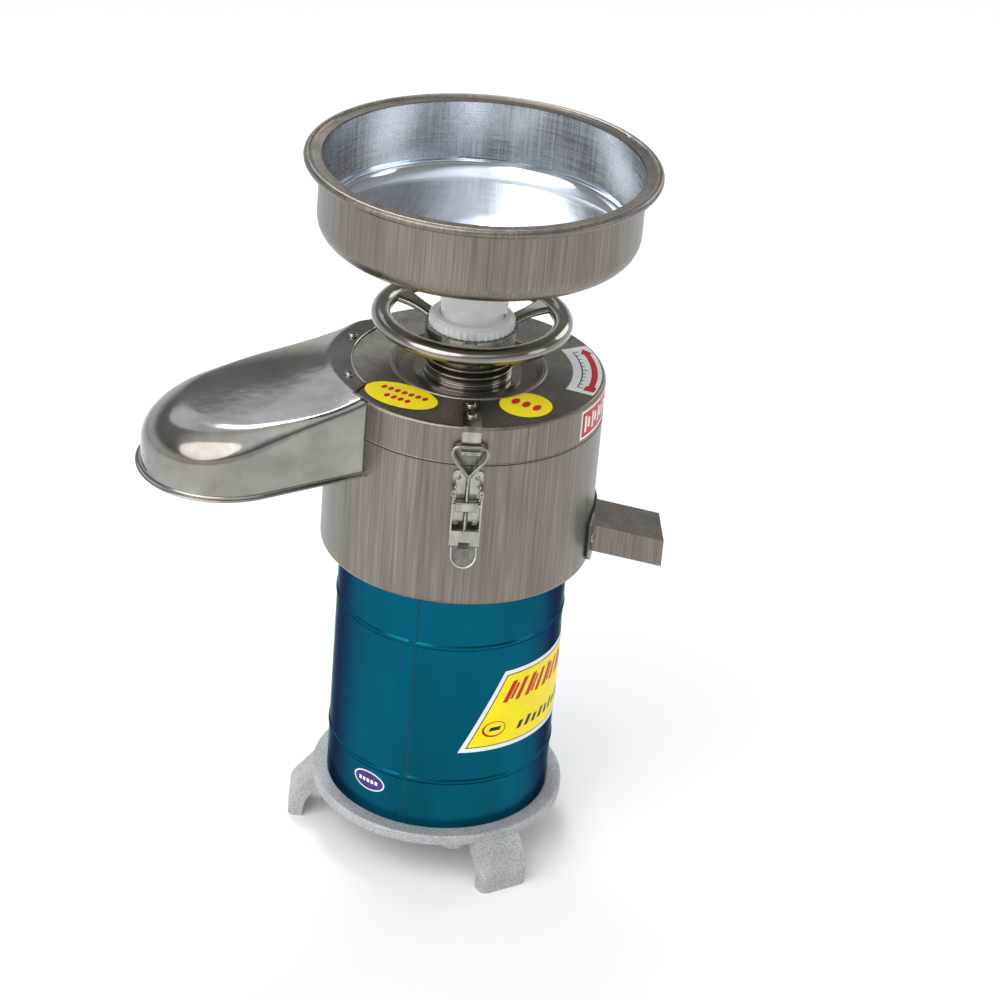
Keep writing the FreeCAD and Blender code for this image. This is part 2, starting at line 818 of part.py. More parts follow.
def grinding_bowl():
    """Bowl with a rounded foot, a collar round the shaft and windows for milk and residue."""
    outer = disc(bowl_radius, casing_top, bowl_rim)
    outer = outer.makeFillet(bowl_corner, edges_at(outer, casing_top))
    inner = disc(bowl_radius - bowl_wall, floor_top, bowl_rim + bury)
    inner = inner.makeFillet(bowl_corner - bowl_wall, edges_at(inner, floor_top))
    collar = disc(collar_radius, casing_top, floor_top + collar_height)
    bowl = outer.cut(inner).fuse(collar).cut(disc(collar_radius - collar_wall, casing_top - bury, bowl_rim))
    half = spout_width / 2 - spout_sheet
    milk_low = casing_top + spout_lift
    milk = box((bowl_radius - margin, bowl_radius + margin), (-half, half),
               (milk_low, milk_low + spout_height - 2 * spout_sheet))
    window = hood_inside().common(hood_side(bowl_radius - margin, bowl_radius + margin,
                                            casing_top + baffle_height, bowl_rim + bury))
    screw = disc(screw_shank + run_fit, casing_top - bury, floor_top + bury)
    screw.translate(Vector(floor_screw_circle, 0, 0))
    bowl = bowl.cut(milk).cut(window).cut(around(screw, floor_screw_azimuths))
    bowl = bowl.cut(around(spout_screw_hole(), [-spout_screw_angle, spout_screw_angle]))
    for azimuth in latch_azimuths.values():
        bowl = bowl.cut(turned(latch_rivet_holes(), azimuth))
    return bowl


def floor_screws():
    """Screws through the bowl's floor into the end cover."""
    head = pan_head(screw_head, screw_head_height, floor_top)
    screw = head.fuse(disc(screw_shank, floor_top - floor_screw_length, floor_top + bury / 2))
    screw.translate(Vector(floor_screw_circle, 0, 0))
    return around(screw, floor_screw_azimuths)


def shaft_seal():
    """Rubber seal in the bowl's collar, with a lip on the shaft."""
    low = floor_top + seal_lift
    high = low + seal_height
    outer = collar_radius - collar_wall - run_fit
    body = shaft_radius + seal_lip_gap
    lip = shaft_radius + run_fit
    outline = [
        (body, low),
        (outer, low),
        (outer, high),
        (body, high),
        (lip, high - seal_lip_land),
        (lip, high - 2 * seal_lip_land),
        (body, high - 3 * seal_lip_land),
    ]
    return spin(outline)


def residue_baffle():
    """Ring in the bowl that parts the milk below from the residue above."""
    low = casing_top + baffle_height - baffle_thickness
    plate = ring(baffle_bore, bowl_radius - bowl_wall - run_fit, low, low + baffle_thickness)
    lip = ring(baffle_bore, baffle_bore + baffle_thickness, low, low + baffle_lip)
    return plate.fuse(lip).removeSplitter()


def spout_screw_hole():
    """Hole along X for a spout screw, at azimuth 0."""
    return rod(screw_shank + run_fit, Vector(bowl_radius - margin, 0, flange_middle),
               Vector(bowl_radius + margin, 0, flange_middle))


def flange_sheet(inner, thickness):
    """Curved plate with cut corners round the milk window."""
    high = flange_low + flange_height
    sheet = annular_sector(inner, inner + thickness, flange_low, high, -flange_half_angle, 2 * flange_half_angle)
    half = (inner + thickness) * math.sin(math.radians(flange_half_angle)) + bury
    cut = half - flange_corner - bury
    start = inner - margin
    corners = [
        (-cut, flange_low), (cut, flange_low), (half, flange_low + flange_corner), (half, high - flange_corner),
        (cut, high), (-cut, high), (-half, high - flange_corner), (-half, flange_low + flange_corner),
    ]
    outline = Part.makePolygon([Vector(start, y, z) for y, z in corners + corners[:1]])
    cutter = Part.Face(outline).extrude(Vector(2 * margin, 0, 0))
    return sheet.common(cutter).cut(around(spout_screw_hole(), [-spout_screw_angle, spout_screw_angle]))


def spout_channel(grow, extra):
    """Sloping rectangular bar along the spout, grown outwards by a sheet and longer by an extra."""
    half = spout_width / 2 - spout_sheet + grow
    low = casing_top + spout_lift - grow
    high = low + spout_height - 2 * spout_sheet + 2 * grow
    bar = box((bowl_radius - flange_corner, bowl_radius + spout_length + extra), (-half, half), (low, high))
    slope = math.tan(math.radians(spout_fall))
    shear = FreeCAD.Matrix()
    shear.A31 = -slope
    shear.A34 = bowl_radius * slope
    return bar.transformGeometry(shear)


def spout_gasket():
    """Rubber sheet between the bowl and the spout's flange."""
    return flange_sheet(gasket_inner, gasket_sheet).cut(spout_channel(spout_sheet + slide_fit, 0))


def milk_spout():
    """Box channel welded to a curved flange."""
    flange = flange_sheet(flange_inner, spout_sheet)
    channel = spout_channel(spout_sheet, 0).cut(disc(flange_inner, casing_top - margin, bowl_rim))
    return flange.fuse(channel).cut(spout_channel(0, margin)).removeSplitter()


def spout_screws():
    """Screws that hold the spout's flange to the bowl."""
    seat = flange_inner + spout_sheet
    head = pan_head(screw_head, screw_head_height, 0)
    head.rotate(ORIGIN, Vector(0, 1, 0), 90)
    head.translate(Vector(seat, 0, flange_middle))
    shank = rod(screw_shank, Vector(bowl_radius - bowl_wall - screw_end, 0, flange_middle),
                Vector(seat + bury / 2, 0, flange_middle))
    return around(head.fuse(shank), [-spout_screw_angle, spout_screw_angle])


def lid_gasket():
    """Rubber ring between the bowl's rim and the lid."""
    outer = bowl_radius - slide_fit
    return ring(outer - lid_gasket_width, outer, bowl_rim, lid_foot)


def lid():
    """Pressed lid: skirt, flat ring, raised bead and a dish round the neck."""
    outer = disc(lid_radius, lid_foot, lid_top)
    outer = outer.makeFillet(lid_edge, edges_at(outer, lid_top))
    under = lid_top - lid_wall
    inner = disc(lid_radius - lid_wall, lid_foot - bury, under)
    inner = inner.makeFillet(lid_edge - lid_wall, edges_at(inner, under))
    dish = bead_ring_radius - bead_ring_section
    shell = outer.cut(inner).cut(disc(dish, under - bury, lid_top + bury))
    bore = neck_radius + run_fit
    pan = spin([
        (bore, dish_top - lid_wall),
        (dish - dish_edge, dish_top - lid_wall),
        (dish, under),
        (dish + bury, under),
        (dish + bury, lid_top),
        (dish, lid_top),
        (dish - dish_edge, dish_top),
        (bore, dish_top),
    ])
    bead = Part.makeTorus(bead_ring_radius, bead_ring_section, Vector(0, 0, lid_top - bead_ring_sink))
    bead = bead.cut(disc(bead_ring_radius + margin, lid_top - margin, under))
    side = hood_side(lid_radius - 2 * lid_edge, lid_radius + margin, lid_foot - bury, under - bury / 2)
    window = hood_inside().common(side)
    holes = hood_screw_holes()
    for azimuth in latch_azimuths.values():
        holes += [turned(hole, azimuth) for hole in strike_screw_holes()]
    body = fuse([shell, pan, bead]).cut(window).cut(Part.makeCompound(holes))
    return max(body.Solids, key=lambda solid: solid.Volume)


def lid_neck():
    """Turned neck welded into the lid, with grooves outside and a keyway inside."""
    low = dish_top - lid_wall
    neck = ring(sleeve_outer + run_fit, neck_radius, low, neck_top)
    for height in neck_groove_heights:
        neck = neck.cut(Part.makeTorus(neck_radius, neck_groove, Vector(0, 0, dish_top + height)))
    flange = ring(neck_radius - bury, neck_flange_radius, dish_top, dish_top + neck_flange_thickness)
    half = key_width / 2 + slide_fit
    keyway = box((sleeve_outer - bury, sleeve_outer + key_rise + slide_fit), (-half, half),
                 (low - bury, neck_top + bury))
    return neck.fuse(flange).cut(keyway).removeSplitter()


def stone_sleeve():
    """Threaded sleeve that carries the upper stone on its flange and slides in the neck."""
    body = ring(feed_bore, sleeve_outer, sleeve_flange_low, sleeve_top)
    flange = ring(feed_bore, stone_radius, sleeve_flange_low, sleeve_flange_top)
    key_low = neck_top - key_drop
    key = box((sleeve_outer - key_rise, sleeve_outer + key_rise), (-key_width / 2, key_width / 2),
              (key_low, key_low + key_length))
    socket = disc(sleeve_bore, sleeve_top - sleeve_shoulder_depth, sleeve_top + bury)
    return fuse([body, flange, key]).cut(socket)


def lower_stone():
    """Turning stone with a flat land outside and a dished feed zone round its nut."""
    bore = spindle_radius + shaft_fit
    high = lower_stone_top
    outline = [(bore, stone_seat), (stone_radius, stone_seat), (stone_radius, high), (stone_radius - stone_land, high),
               (washer_radius + bury, high - stone_dish), (bore, high - stone_dish)]
    return spin(outline)


def upper_stone():
    """Standing stone with the same land and a feed zone that opens into the feed bore."""
    low = upper_stone_low
    high = low + upper_stone_height
    outline = [(feed_bore, high), (stone_radius, high), (stone_radius, low), (stone_radius - stone_land, low),
               (feed_bore, low + stone_dish)]
    return spin(outline)


def washer():
    """Washer under the spindle nut."""
    return ring(spindle_radius + shaft_fit, washer_radius, washer_low, spindle_nut_low)


def spindle_nut():
    """Hexagon nut that clamps the lower stone on the shaft."""
    corners = [polar(spindle_nut_radius, 60 * i, 0) for i in range(7)]
    top = spindle_nut_low + spindle_nut_height
    hexagon = plan_prism(Part.makePolygon(corners), spindle_nut_low, top)
    return hexagon.cut(disc(spindle_thread_radius + shaft_fit, spindle_nut_low - bury, top + bury))


def dial_plate():
    """Turning plate that carries the basket, with a hub for the stone and a slinger skirt."""
    bore = spindle_radius + shaft_fit
    plate = ring(bore, dial_radius, dial_low, dial_top)
    hub = ring(bore, dial_hub_radius, dial_low, stone_seat)
    inner = collar_radius + slinger_clearance
    skirt = ring(inner, inner + slinger_wall, dial_low - slinger_drop, dial_low + bury)
    seat = ring(bore, stone_seat_radius, stone_seat - stone_seat_thickness, stone_seat)
    return fuse([plate, hub, skirt, seat])


def filter_basket():
    """Conical sieve standing on the dial plate, with a foot and an outward rim."""
    high = dial_top + basket_height
    foot = dial_radius
    sheet = basket_sheet
    rim = basket_top_radius + basket_rim_width
    outline = [
        (foot - basket_foot_width, dial_top),
        (foot, dial_top),
        (basket_top_radius, high - sheet),
        (rim, high - sheet),
        (rim, high),
        (basket_top_radius - sheet, high),
        (foot - 1.5 * sheet, dial_top + sheet),
        (foot - basket_foot_width, dial_top + sheet),
    ]
    return spin(outline)


def pressure_spring():
    """Coil spring between the sleeve's flange and the lid's dish."""
    low = sleeve_flange_top + seat_gap + spring_wire / 2
    high = dish_top - lid_wall - seat_gap - spring_wire / 2
    pitch = (high - low) / spring_turns
    path = Part.makeHelix(pitch, high - low, spring_mean_radius)
    path.translate(Vector(0, 0, low))
    along = Vector(0, 1, pitch / (2 * math.pi * spring_mean_radius))
    profile = Part.Wire(Part.makeCircle(spring_wire / 2, Vector(spring_mean_radius, 0, low), along))
    coil = Part.Wire(path).makePipeShell([profile], True, True)
    return coil if coil.ShapeType == "Solid" else Part.Solid(coil)


def handwheel():
    """Rim, three flared spokes and the threaded hub that lifts the sleeve."""
    hub = ring(sleeve_outer + run_fit, sleeve_outer + wheel_hub_wall, wheel_hub_low, wheel_hub_top)
    centre = Vector(wheel_ring_radius, 0, neck_top + wheel_ring_lift)
    section = Part.Ellipse(centre, wheel_ring_half_width, wheel_ring_half_height).toShape()
    section.rotate(centre, Vector(1, 0, 0), 90)
    rim = Part.Face(Part.Wire(section)).revolve(ORIGIN, UP, 360)
    spokes = [turned(spoke(centre.z), azimuth) for azimuth in spoke_azimuths]
    bore = disc(sleeve_outer + run_fit, wheel_hub_low - bury, wheel_hub_top + margin)
    return fuse([hub, rim] + spokes).cut(bore)


def spoke(rim_height):
    """One spoke that rises and widens from the hub to the rim."""
    hub_middle = (wheel_hub_low + wheel_hub_top) / 2
    hub_face = spoke_section(sleeve_outer + wheel_hub_wall / 2, hub_middle, spoke_hub_width)
    middle = (sleeve_outer + wheel_ring_radius - wheel_ring_half_width) / 2 + spoke_waist_out
    height = (wheel_hub_top + rim_height) / 2 - spoke_waist_drop
    mid_face = spoke_section(middle, height, spoke_hub_width * spoke_waist)
    rim_face = spoke_section(wheel_ring_radius - 2 * bury, rim_height, spoke_ring_width)
    return Part.makeLoft([hub_face, mid_face, rim_face], True, False)


def spoke_section(radius, height, width):
    """Rounded cross-section of a spoke, across its length."""
    half = spoke_thickness / 2
    flat = width / 2 - half
    corners = [Vector(radius, -flat, height - half), Vector(radius, flat, height - half)]
    ends = [Vector(radius, flat, height + half), Vector(radius, -flat, height + half)]
    return Part.Wire([
        Part.LineSegment(corners[0], corners[1]).toShape(),
        Part.Arc(corners[1], Vector(radius, flat + half, height), ends[0]).toShape(),
        Part.LineSegment(ends[0], ends[1]).toShape(),
        Part.Arc(ends[1], Vector(radius, -flat - half, height), corners[0]).toShape(),
    ])


def knurled_nut():
    """Ribbed union nut whose inner lip covers the sleeve's end round the feed tube."""
    body = disc(nut_radius - nut_rib_radius / 2, nut_low, nut_top)
    body = body.makeChamfer(nut_chamfer, edges_at(body, nut_top))
    rib = Part.makeCylinder(nut_rib_radius, nut_height - nut_chamfer,
                            Vector(nut_radius - nut_rib_radius, 0, nut_low), UP)
    body = body.multiFuse([turned(rib, 360 * i / nut_rib_count) for i in range(nut_rib_count)])
    bore = disc(sleeve_outer + run_fit, nut_low - bury, nut_top - nut_lip_height)
    return body.cut(bore).cut(disc(nut_lip_bore, nut_low, nut_top + bury))


def hopper_body(gap):
    """Solid inside the hopper's outer skin, or inside its sheet for a gap of the sheet."""
    wall = hopper_radius - gap
    corner = hopper_corner - gap
    floor = hopper_floor + gap
    rise = hopper_floor_rise
    tube = hopper_tube_radius - gap
    turn = math.atan2(rise, wall - corner - tube)
    centre = Vector(wall - corner, 0, floor + rise + corner)
    low = centre + Vector(corner * math.sin(turn), 0, -corner * math.cos(turn))
    middle = (turn + math.pi / 2) / 2
    mid = centre + Vector(corner * math.sin(middle), 0, -corner * math.cos(middle))
    side = centre + Vector(corner, 0, 0)
    rim = Vector(wall, 0, hopper_rim + (bury if gap else 0))
    neck = Vector(tube, 0, low.z - (low.x - tube) * math.tan(turn))
    foot = Vector(tube, 0, tube_low - (bury if gap else 0))
    edges = [
        Part.LineSegment(Vector(0, 0, foot.z), foot).toShape(),
        Part.LineSegment(foot, neck).toShape(),
        Part.LineSegment(neck, low).toShape(),
        Part.Arc(low, mid, side).toShape(),
        Part.LineSegment(side, rim).toShape(),
        Part.LineSegment(rim, Vector(0, 0, rim.z)).toShape(),
        Part.LineSegment(Vector(0, 0, rim.z), Vector(0, 0, foot.z)).toShape(),
    ]
    return Part.Face(Part.Wire(edges)).revolve(ORIGIN, UP, 360)


def hopper():
    """Feed hopper: basin with a conical floor, a rolled rim and the feed tube."""
    shell = hopper_body(0).cut(hopper_body(hopper_sheet))
    rolled = hopper_rim_radius - hopper_rim_section
    flange = ring(hopper_radius - hopper_sheet, rolled, hopper_rim - hopper_sheet, hopper_rim)
    roll = Part.makeTorus(rolled, hopper_rim_section, Vector(0, 0, hopper_rim - hopper_rim_section / 2))
    return fuse([shell, flange, roll])


def hopper_socket():
    """Square plastic collar round the feed tube, up against the hopper's floor."""
    half_width = socket_width / 2
    half_depth = socket_depth / 2
    block = box((-half_width, half_width), (-half_depth, half_depth), (socket_low, hopper_rim))
    block = block.makeFillet(socket_corner, [e for e in block.Edges if upright(e)])
    block = block.cut(disc(hopper_tube_radius + run_fit, socket_low - bury, hopper_rim + bury))
    return min(block.cut(hopper_body(-run_fit)).Solids, key=lambda solid: solid.BoundBox.ZMin)


# A latch is modelled at azimuth 0: X points out of the bowl, Y runs across the latch.
latch_face = bowl_radius
plate_out = latch_face + latch_plate_thickness
pin_x = latch_face + pin_out
pin_z = lid_top - pin_drop
block_x = pin_x - block_in
block_z = pin_z - block_drop
bar_z = block_z + hook_length
bar_x = block_x - hook_bar_in
plate_low = casing_top + latch_plate_low
lever_inner = ear_gap / 2 + ear_thickness + lever_side_gap
lever_outer = lever_inner + lever_wall


def across(radius, x, z):
    """Long rod across a latch that cuts a hole through whatever it meets."""
    return rod(radius, Vector(x, -2 * margin, z), Vector(x, 2 * margin, z))


def latch_rivet_spots():
    """Centres of the four rivets of a latch plate, as (Y, Z)."""
    half = latch_plate_width / 2 - latch_rivet_edge
    return [(side * half, plate_low + height) for height in latch_rivet_heights for side in (-1, 1)]


def latch_rivet_holes():
    """Holes for the rivets in the bowl and the plate."""
    radius = rivet_radius + run_fit
    return Part.makeCompound([rod(radius, Vector(latch_face - margin, y, z), Vector(latch_face + margin, y, z))
                              for y, z in latch_rivet_spots()])


def latch_base():
    """Plate on the bowl with two upright ears for the lever's pins."""
    half = latch_plate_width / 2
    plate = box((latch_face, plate_out), (-half, half), (plate_low, plate_low + latch_plate_height))
    corners = [e for e in plate.Edges if abs(e.Length - latch_plate_thickness) < 0.01]
    parts = [plate.makeFillet(latch_plate_corner, corners)]
    for side in (-1, 1):
        y = tuple(sorted((side * ear_gap / 2, side * (ear_gap / 2 + ear_thickness))))
        parts.append(box((latch_face + seat_gap, pin_x), y, (pin_z - ear_half_height, pin_z + ear_half_height)))
        parts.append(rod(ear_reach - pin_out, Vector(pin_x, y[0], pin_z), Vector(pin_x, y[1], pin_z)))
    return fuse(parts).cut(across(latch_pin_radius + run_fit, pin_x, pin_z)).cut(latch_rivet_holes())


def latch_rivets():
    """Four rivets through the plate and the bowl's wall."""
    rivets = []
    for y, z in latch_rivet_spots():
        inside = bowl_radius * math.cos(math.asin(y / bowl_radius)) - bowl_wall - rivet_tail
        shank = rod(rivet_radius, Vector(inside, y, z), Vector(plate_out + rivet_head_height / 2, y, z))
        dome = Part.makeSphere(rivet_dome, Vector(plate_out + rivet_head_height - rivet_dome, y, z))
        head = dome.common(box((plate_out, plate_out + margin), (y - margin, y + margin), (z - margin, z + margin)))
        rivets.append(shank.fuse(head))
    return Part.makeCompound(rivets)


def latch_pins():
    """Two headed pins that carry the lever in the ears."""
    pins = []
    for side in (-1, 1):
        inner = side * (ear_gap / 2 - bury)
        face = side * (lever_outer + latch_pin_gap)
        end = face + side * latch_pin_head_thickness
        shank = rod(latch_pin_radius, Vector(pin_x, inner, pin_z), Vector(pin_x, face, pin_z))
        head = rod(latch_pin_radius + latch_pin_head, Vector(pin_x, face, pin_z), Vector(pin_x, end, pin_z))
        pins.append(shank.fuse(head))
    return Part.makeCompound(pins)


def latch_lever():
    """Channel lever with two side walls, a web and a bent finger end."""
    inner_x = plate_out + lever_back_gap
    outer_x = pin_x + lever_depth - lever_nose
    low = pin_z - lever_length
    finger_root = low + lever_finger_length
    web_top = low + lever_web_height
    outline = [
        (pin_x - lever_nose, pin_z),
        (inner_x, pin_z - lever_heel),
        (inner_x + lever_back_taper, web_top),
        (outer_x - lever_foot_taper, finger_root),
        (outer_x, finger_root),
        (outer_x, pin_z),
    ]
    nose = rod(lever_nose, Vector(pin_x, -lever_outer, pin_z), Vector(pin_x, lever_outer, pin_z))
    hollow = box((0, 2 * outer_x), (-lever_inner, lever_inner), (0, lid_top))
    walls = side_prism(outline, lever_outer).fuse(nose).cut(hollow)
    web = box((outer_x - lever_wall, outer_x), (-lever_outer, lever_outer), (finger_root, web_top))
    half = lever_end_width / 2
    finger = box((outer_x - lever_wall, outer_x), (-half, half), (low, finger_root + bury / 2))
    ends = [e for e in finger.Edges if abs(e.Length - lever_wall) < 0.01 and e.CenterOfMass.z < low + bury]
    finger = finger.makeFillet(half - bury / 2, ends)
    finger.rotate(Vector(outer_x, 0, finger_root), Vector(0, 1, 0), -lever_finger_bend)
    slot_low = web_top - lever_slot_drop
    slot = box((outer_x - margin, outer_x + margin), (-lever_slot_width / 2, lever_slot_width / 2),
               (slot_low, slot_low + lever_slot_height))
    body = fuse([walls, web, finger]).cut(slot)
    body = body.cut(across(latch_pin_radius + run_fit, pin_x, pin_z))
    return body.cut(across(trunnion_radius + run_fit, block_x, block_z))


def hook_block():
    """Cross block with two trunnions that turn in the lever's walls."""
    half = block_size / 2
    block = box((block_x - half, block_x + half), (-block_half_width, block_half_width),
                (block_z - half, block_z + half))
    edges = [e for e in block.Edges if abs(e.Length - 2 * block_half_width) < 0.01]
    block = block.makeFillet(block_edge, edges)
    trunnion = rod(trunnion_radius, Vector(block_x, -lever_outer, block_z),
                   Vector(block_x, lever_outer, block_z))
    start, end = hook_rod_ends()
    return block.fuse(trunnion).cut(rod(wire_radius + run_fit, start, end))


def hook_rod_ends():
    """Lower and upper end of the hook's straight rod."""
    block = Vector(block_x, 0, block_z)
    along = Vector(bar_x, 0, bar_z).sub(block)
    along.normalize()
    return block - along * hook_tail, block + along * (hook_length - hook_heart_height)


def wire_hook():
    """Bent wire: a straight threaded rod that opens into a heart-shaped loop."""
    low, neck = hook_rod_ends()
    bar = Vector(bar_x, 0, bar_z)
    along = bar - neck
    along.normalize()
    left = [neck]
    for up, out in hook_shape:
        left.append(neck + along * (hook_heart_height * up) + Vector(0, hook_half_width * out, 0))
    left.append(bar + Vector(0, hook_half_width * hook_bar_share, 0))
    right = [Vector(p.x, -p.y, p.z) for p in reversed(left)]
    path = left + right
    parts = [rod(wire_radius, low, neck)]
    parts += [rod(wire_radius, a, b) for a, b in zip(path, path[1:])]
    parts += [Part.makeSphere(wire_radius, p) for p in path[:-1]]
    return fuse(parts)


def strike_screw_holes():
    """Rods that cut the holes of a strike's screws through the strip and the lid."""
    return [rod(screw_shank + run_fit, Vector(radius, 0, lid_top - 2 * screw_end),
                Vector(radius, 0, lid_top + 2 * screw_end)) for radius in strike_screw_radii]


def strike():
    """Strip screwed to the lid and bent down over its edge, with a bead under the hook."""
    half = strike_width / 2
    out = lid_radius + strike_stand_off
    inner = out - strike_sheet
    bead_x = out + strike_lip_reach
    bead_z = bar_z - wire_radius - strike_bead_radius - strike_bead_gap
    lip_low = bead_z - strike_sheet - strike_jog / 2
    lip_high = lip_low + strike_sheet
    fall_end = lip_high + strike_bend
    top = lid_top + strike_sheet
    outline = [
        (strike_inner_radius, lid_top),
        (lid_radius, lid_top),
        (inner, lid_top - strike_bend),
        (inner, fall_end),
        (inner + strike_jog, lip_low + strike_bend),
        (out + strike_lip, lip_low),
        (bead_x, lip_low),
        (bead_x, lip_high),
        (out + strike_lip, lip_high),
        (out, fall_end),
        (out, lid_top - strike_bend),
        (lid_radius + strike_jog, top),
        (strike_inner_radius, top),
    ]
    strip = side_prism(outline, half)
    bead = rod(strike_bead_radius, Vector(bead_x, -half, bead_z), Vector(bead_x, half, bead_z))
    return fuse([strip, bead]).cut(Part.makeCompound(strike_screw_holes()))


def strike_screws():
    """Two pan-head screws through a strike and the lid."""
    screws = []
    for radius in strike_screw_radii:
        screw = top_screw(lid_top + strike_sheet)
        screw.translate(Vector(radius, 0, 0))
        screws.append(screw)
    return Part.makeCompound(screws)


export("base_casting", base_casting())
export("lower_bearing", ball_bearing(journal_radius, lower_bearing_outer, lower_bearing_width,
                                     lower_bearing_low))
export("running_capacitor", capacitor())
export("capacitor_clip", capacitor_clip())
export("motor_casing", motor_casing())
export("stator_core", stator_core())
export("stator_windings", stator_windings())
export("rotor", rotor())
export("motor_shaft", motor_shaft())
export("cooling_fan", cooling_fan())
export("upper_end_cover", upper_end_cover())
export("upper_bearing", ball_bearing(shaft_radius, upper_bearing_outer, upper_bearing_width,
                                     upper_bearing_low))
export("through_bolts", through_bolts())
export("grinding_bowl", grinding_bowl())
export("floor_screws", floor_screws())
export("shaft_seal", shaft_seal())
export("residue_baffle", residue_baffle())
export("spout_gasket", spout_gasket())
export("milk_spout", milk_spout())
export("spout_screws", spout_screws())
export("dial_plate", dial_plate())
export("filter_basket", filter_basket())
export("lower_stone", lower_stone())
export("stone_washer", washer())
export("spindle_nut", spindle_nut())
export("upper_stone", upper_stone())
export("stone_sleeve", stone_sleeve())
export("pressure_spring", pressure_spring())
export("lid_gasket", lid_gasket())
export("lid", lid())
export("lid_neck", lid_neck())
export("residue_hood", residue_hood())
export("hood_screws", hood_screws())
export("handwheel", handwheel())
export("knurled_nut", knurled_nut())
export("hopper", hopper())
export("hopper_socket", hopper_socket())

for place, azimuth in latch_azimuths.items():
    export(f"{place}_strike", turned(strike(), azimuth))
    export(f"{place}_strike_screws", turned(strike_screws(), azimuth))
    export(f"{place}_latch_base", turned(latch_base(), azimuth))
    export(f"{place}_latch_rivets", turned(latch_rivets(), azimuth))
    export(f"{place}_latch_pins", turned(latch_pins(), azimuth))
    export(f"{place}_latch_lever", turned(latch_lever(), azimuth))
    export(f"{place}_hook_block", turned(hook_block(), azimuth))
    export(f"{place}_wire_hook", turned(wire_hook(), azimuth))
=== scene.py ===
import json
import math

import bpy
import numpy as np
from mathutils import Matrix, Vector


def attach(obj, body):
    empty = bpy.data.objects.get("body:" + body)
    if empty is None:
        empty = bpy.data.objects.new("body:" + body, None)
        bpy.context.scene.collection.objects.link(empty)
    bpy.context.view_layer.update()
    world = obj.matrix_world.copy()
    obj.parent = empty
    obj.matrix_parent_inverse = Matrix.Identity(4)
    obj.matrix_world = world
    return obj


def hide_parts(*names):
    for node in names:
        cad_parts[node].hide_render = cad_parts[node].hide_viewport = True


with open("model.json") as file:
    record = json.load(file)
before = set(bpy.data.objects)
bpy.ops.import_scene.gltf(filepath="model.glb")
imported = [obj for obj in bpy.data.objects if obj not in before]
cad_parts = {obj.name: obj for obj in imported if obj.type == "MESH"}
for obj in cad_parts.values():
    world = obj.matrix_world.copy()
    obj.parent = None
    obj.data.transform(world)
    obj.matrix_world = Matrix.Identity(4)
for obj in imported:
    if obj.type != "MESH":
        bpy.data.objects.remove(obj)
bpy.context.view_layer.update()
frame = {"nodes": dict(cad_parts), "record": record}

# Soy milk machine in its studio. The machine's axis is the Z axis and its feet stand on z = 0.
# The pieces below are given in millimetres and the studio in metres.
MM = 0.001

# Shared sizes and places of the machine, in millimetres and degrees.
CASING_RADIUS = 95.0
LID_TOP = 434.0
LID_RADIUS = 111.2
HOOD_AZIMUTH = 205.0
LATCH_AZIMUTHS = {"front": -90, "back": 90}

# Lifts of the lid's labels and of their print over the lid's top, in millimetres.
LABEL_LIFT = 0.25
PRINT_LIFT = 0.32


def hex_colour(code, alpha=1.0):
    """Linear colour of an sRGB hex value: c/12.92 up to 0.04045, ((c + 0.055)/1.055)^2.4 above."""
    colour = []
    for start in (0, 2, 4):
        c = int(code[start:start + 2], 16) / 255
        colour.append(c / 12.92 if c <= 0.04045 else ((c + 0.055) / 1.055) ** 2.4)
    return colour + [alpha]


def add(tree, kind, inputs=None, **settings):
    """Add one shader node: settings are attributes, inputs are values or the sockets that feed them."""
    node = tree.nodes.new("ShaderNode" + kind)
    for name, value in settings.items():
        setattr(node, name, value)
    for name, value in (inputs or {}).items():
        if isinstance(value, bpy.types.NodeSocket):
            tree.links.new(value, node.inputs[name])
        else:
            node.inputs[name].default_value = value
    return node


def new_material(name, **sockets):
    """A material with one principled shader whose constant sockets are given by name."""
    material = bpy.data.materials.new(name)
    material.use_nodes = True
    tree = material.node_tree
    tree.nodes.clear()
    shader = add(tree, "BsdfPrincipled", {key.replace("_", " "): value for key, value in sockets.items()})
    output = add(tree, "OutputMaterial", {"Surface": shader.outputs["BSDF"]})
    output.is_active_output = True
    return material, tree, shader


def ramp(tree, factor, stops):
    """Colour ramp over a factor, with (position, hex colour) stops."""
    node = add(tree, "ValToRGB", {"Fac": factor})
    band = node.color_ramp
    for i, (position, code) in enumerate(stops):
        stop = band.elements[i] if i < 2 else band.elements.new(position)
        stop.position = position
        stop.color = hex_colour(code)
    return node.outputs["Color"]


def streaks(tree, stretch, scale, detail=3.0):
    """Noise on object coordinates, drawn out along the axes whose stretch is small."""
    place = add(tree, "TexCoord").outputs["Object"]
    drawn = add(tree, "Mapping", {"Vector": place, "Scale": stretch}).outputs["Vector"]
    noise = add(tree, "TexNoise", {"Vector": drawn, "Scale": scale, "Detail": detail, "Roughness": 0.6})
    return noise.outputs["Fac"]


def remap(tree, value, low, high, start=0.3, end=0.7):
    """Value carried from one span to another and clamped there."""
    spans = {"Value": value, "From Min": start, "From Max": end, "To Min": low, "To Max": high}
    return add(tree, "MapRange", spans).outputs["Result"]


def blend(tree, share, first, second):
    """Two grey patterns mixed by a share of the second."""
    return add(tree, "Mix", {"Factor": share, "A": first, "B": second}, data_type="FLOAT").outputs["Result"]


def feed(shader, socket, value):
    """Link a value to a socket of a shader."""
    shader.id_data.links.new(value, shader.inputs[socket])


def relief(tree, shader, height, strength, distance):
    """Bump of a pattern, in metres."""
    bump = add(tree, "Bump", {"Height": height, "Strength": strength, "Distance": distance})
    feed(shader, "Normal", bump.outputs["Normal"])


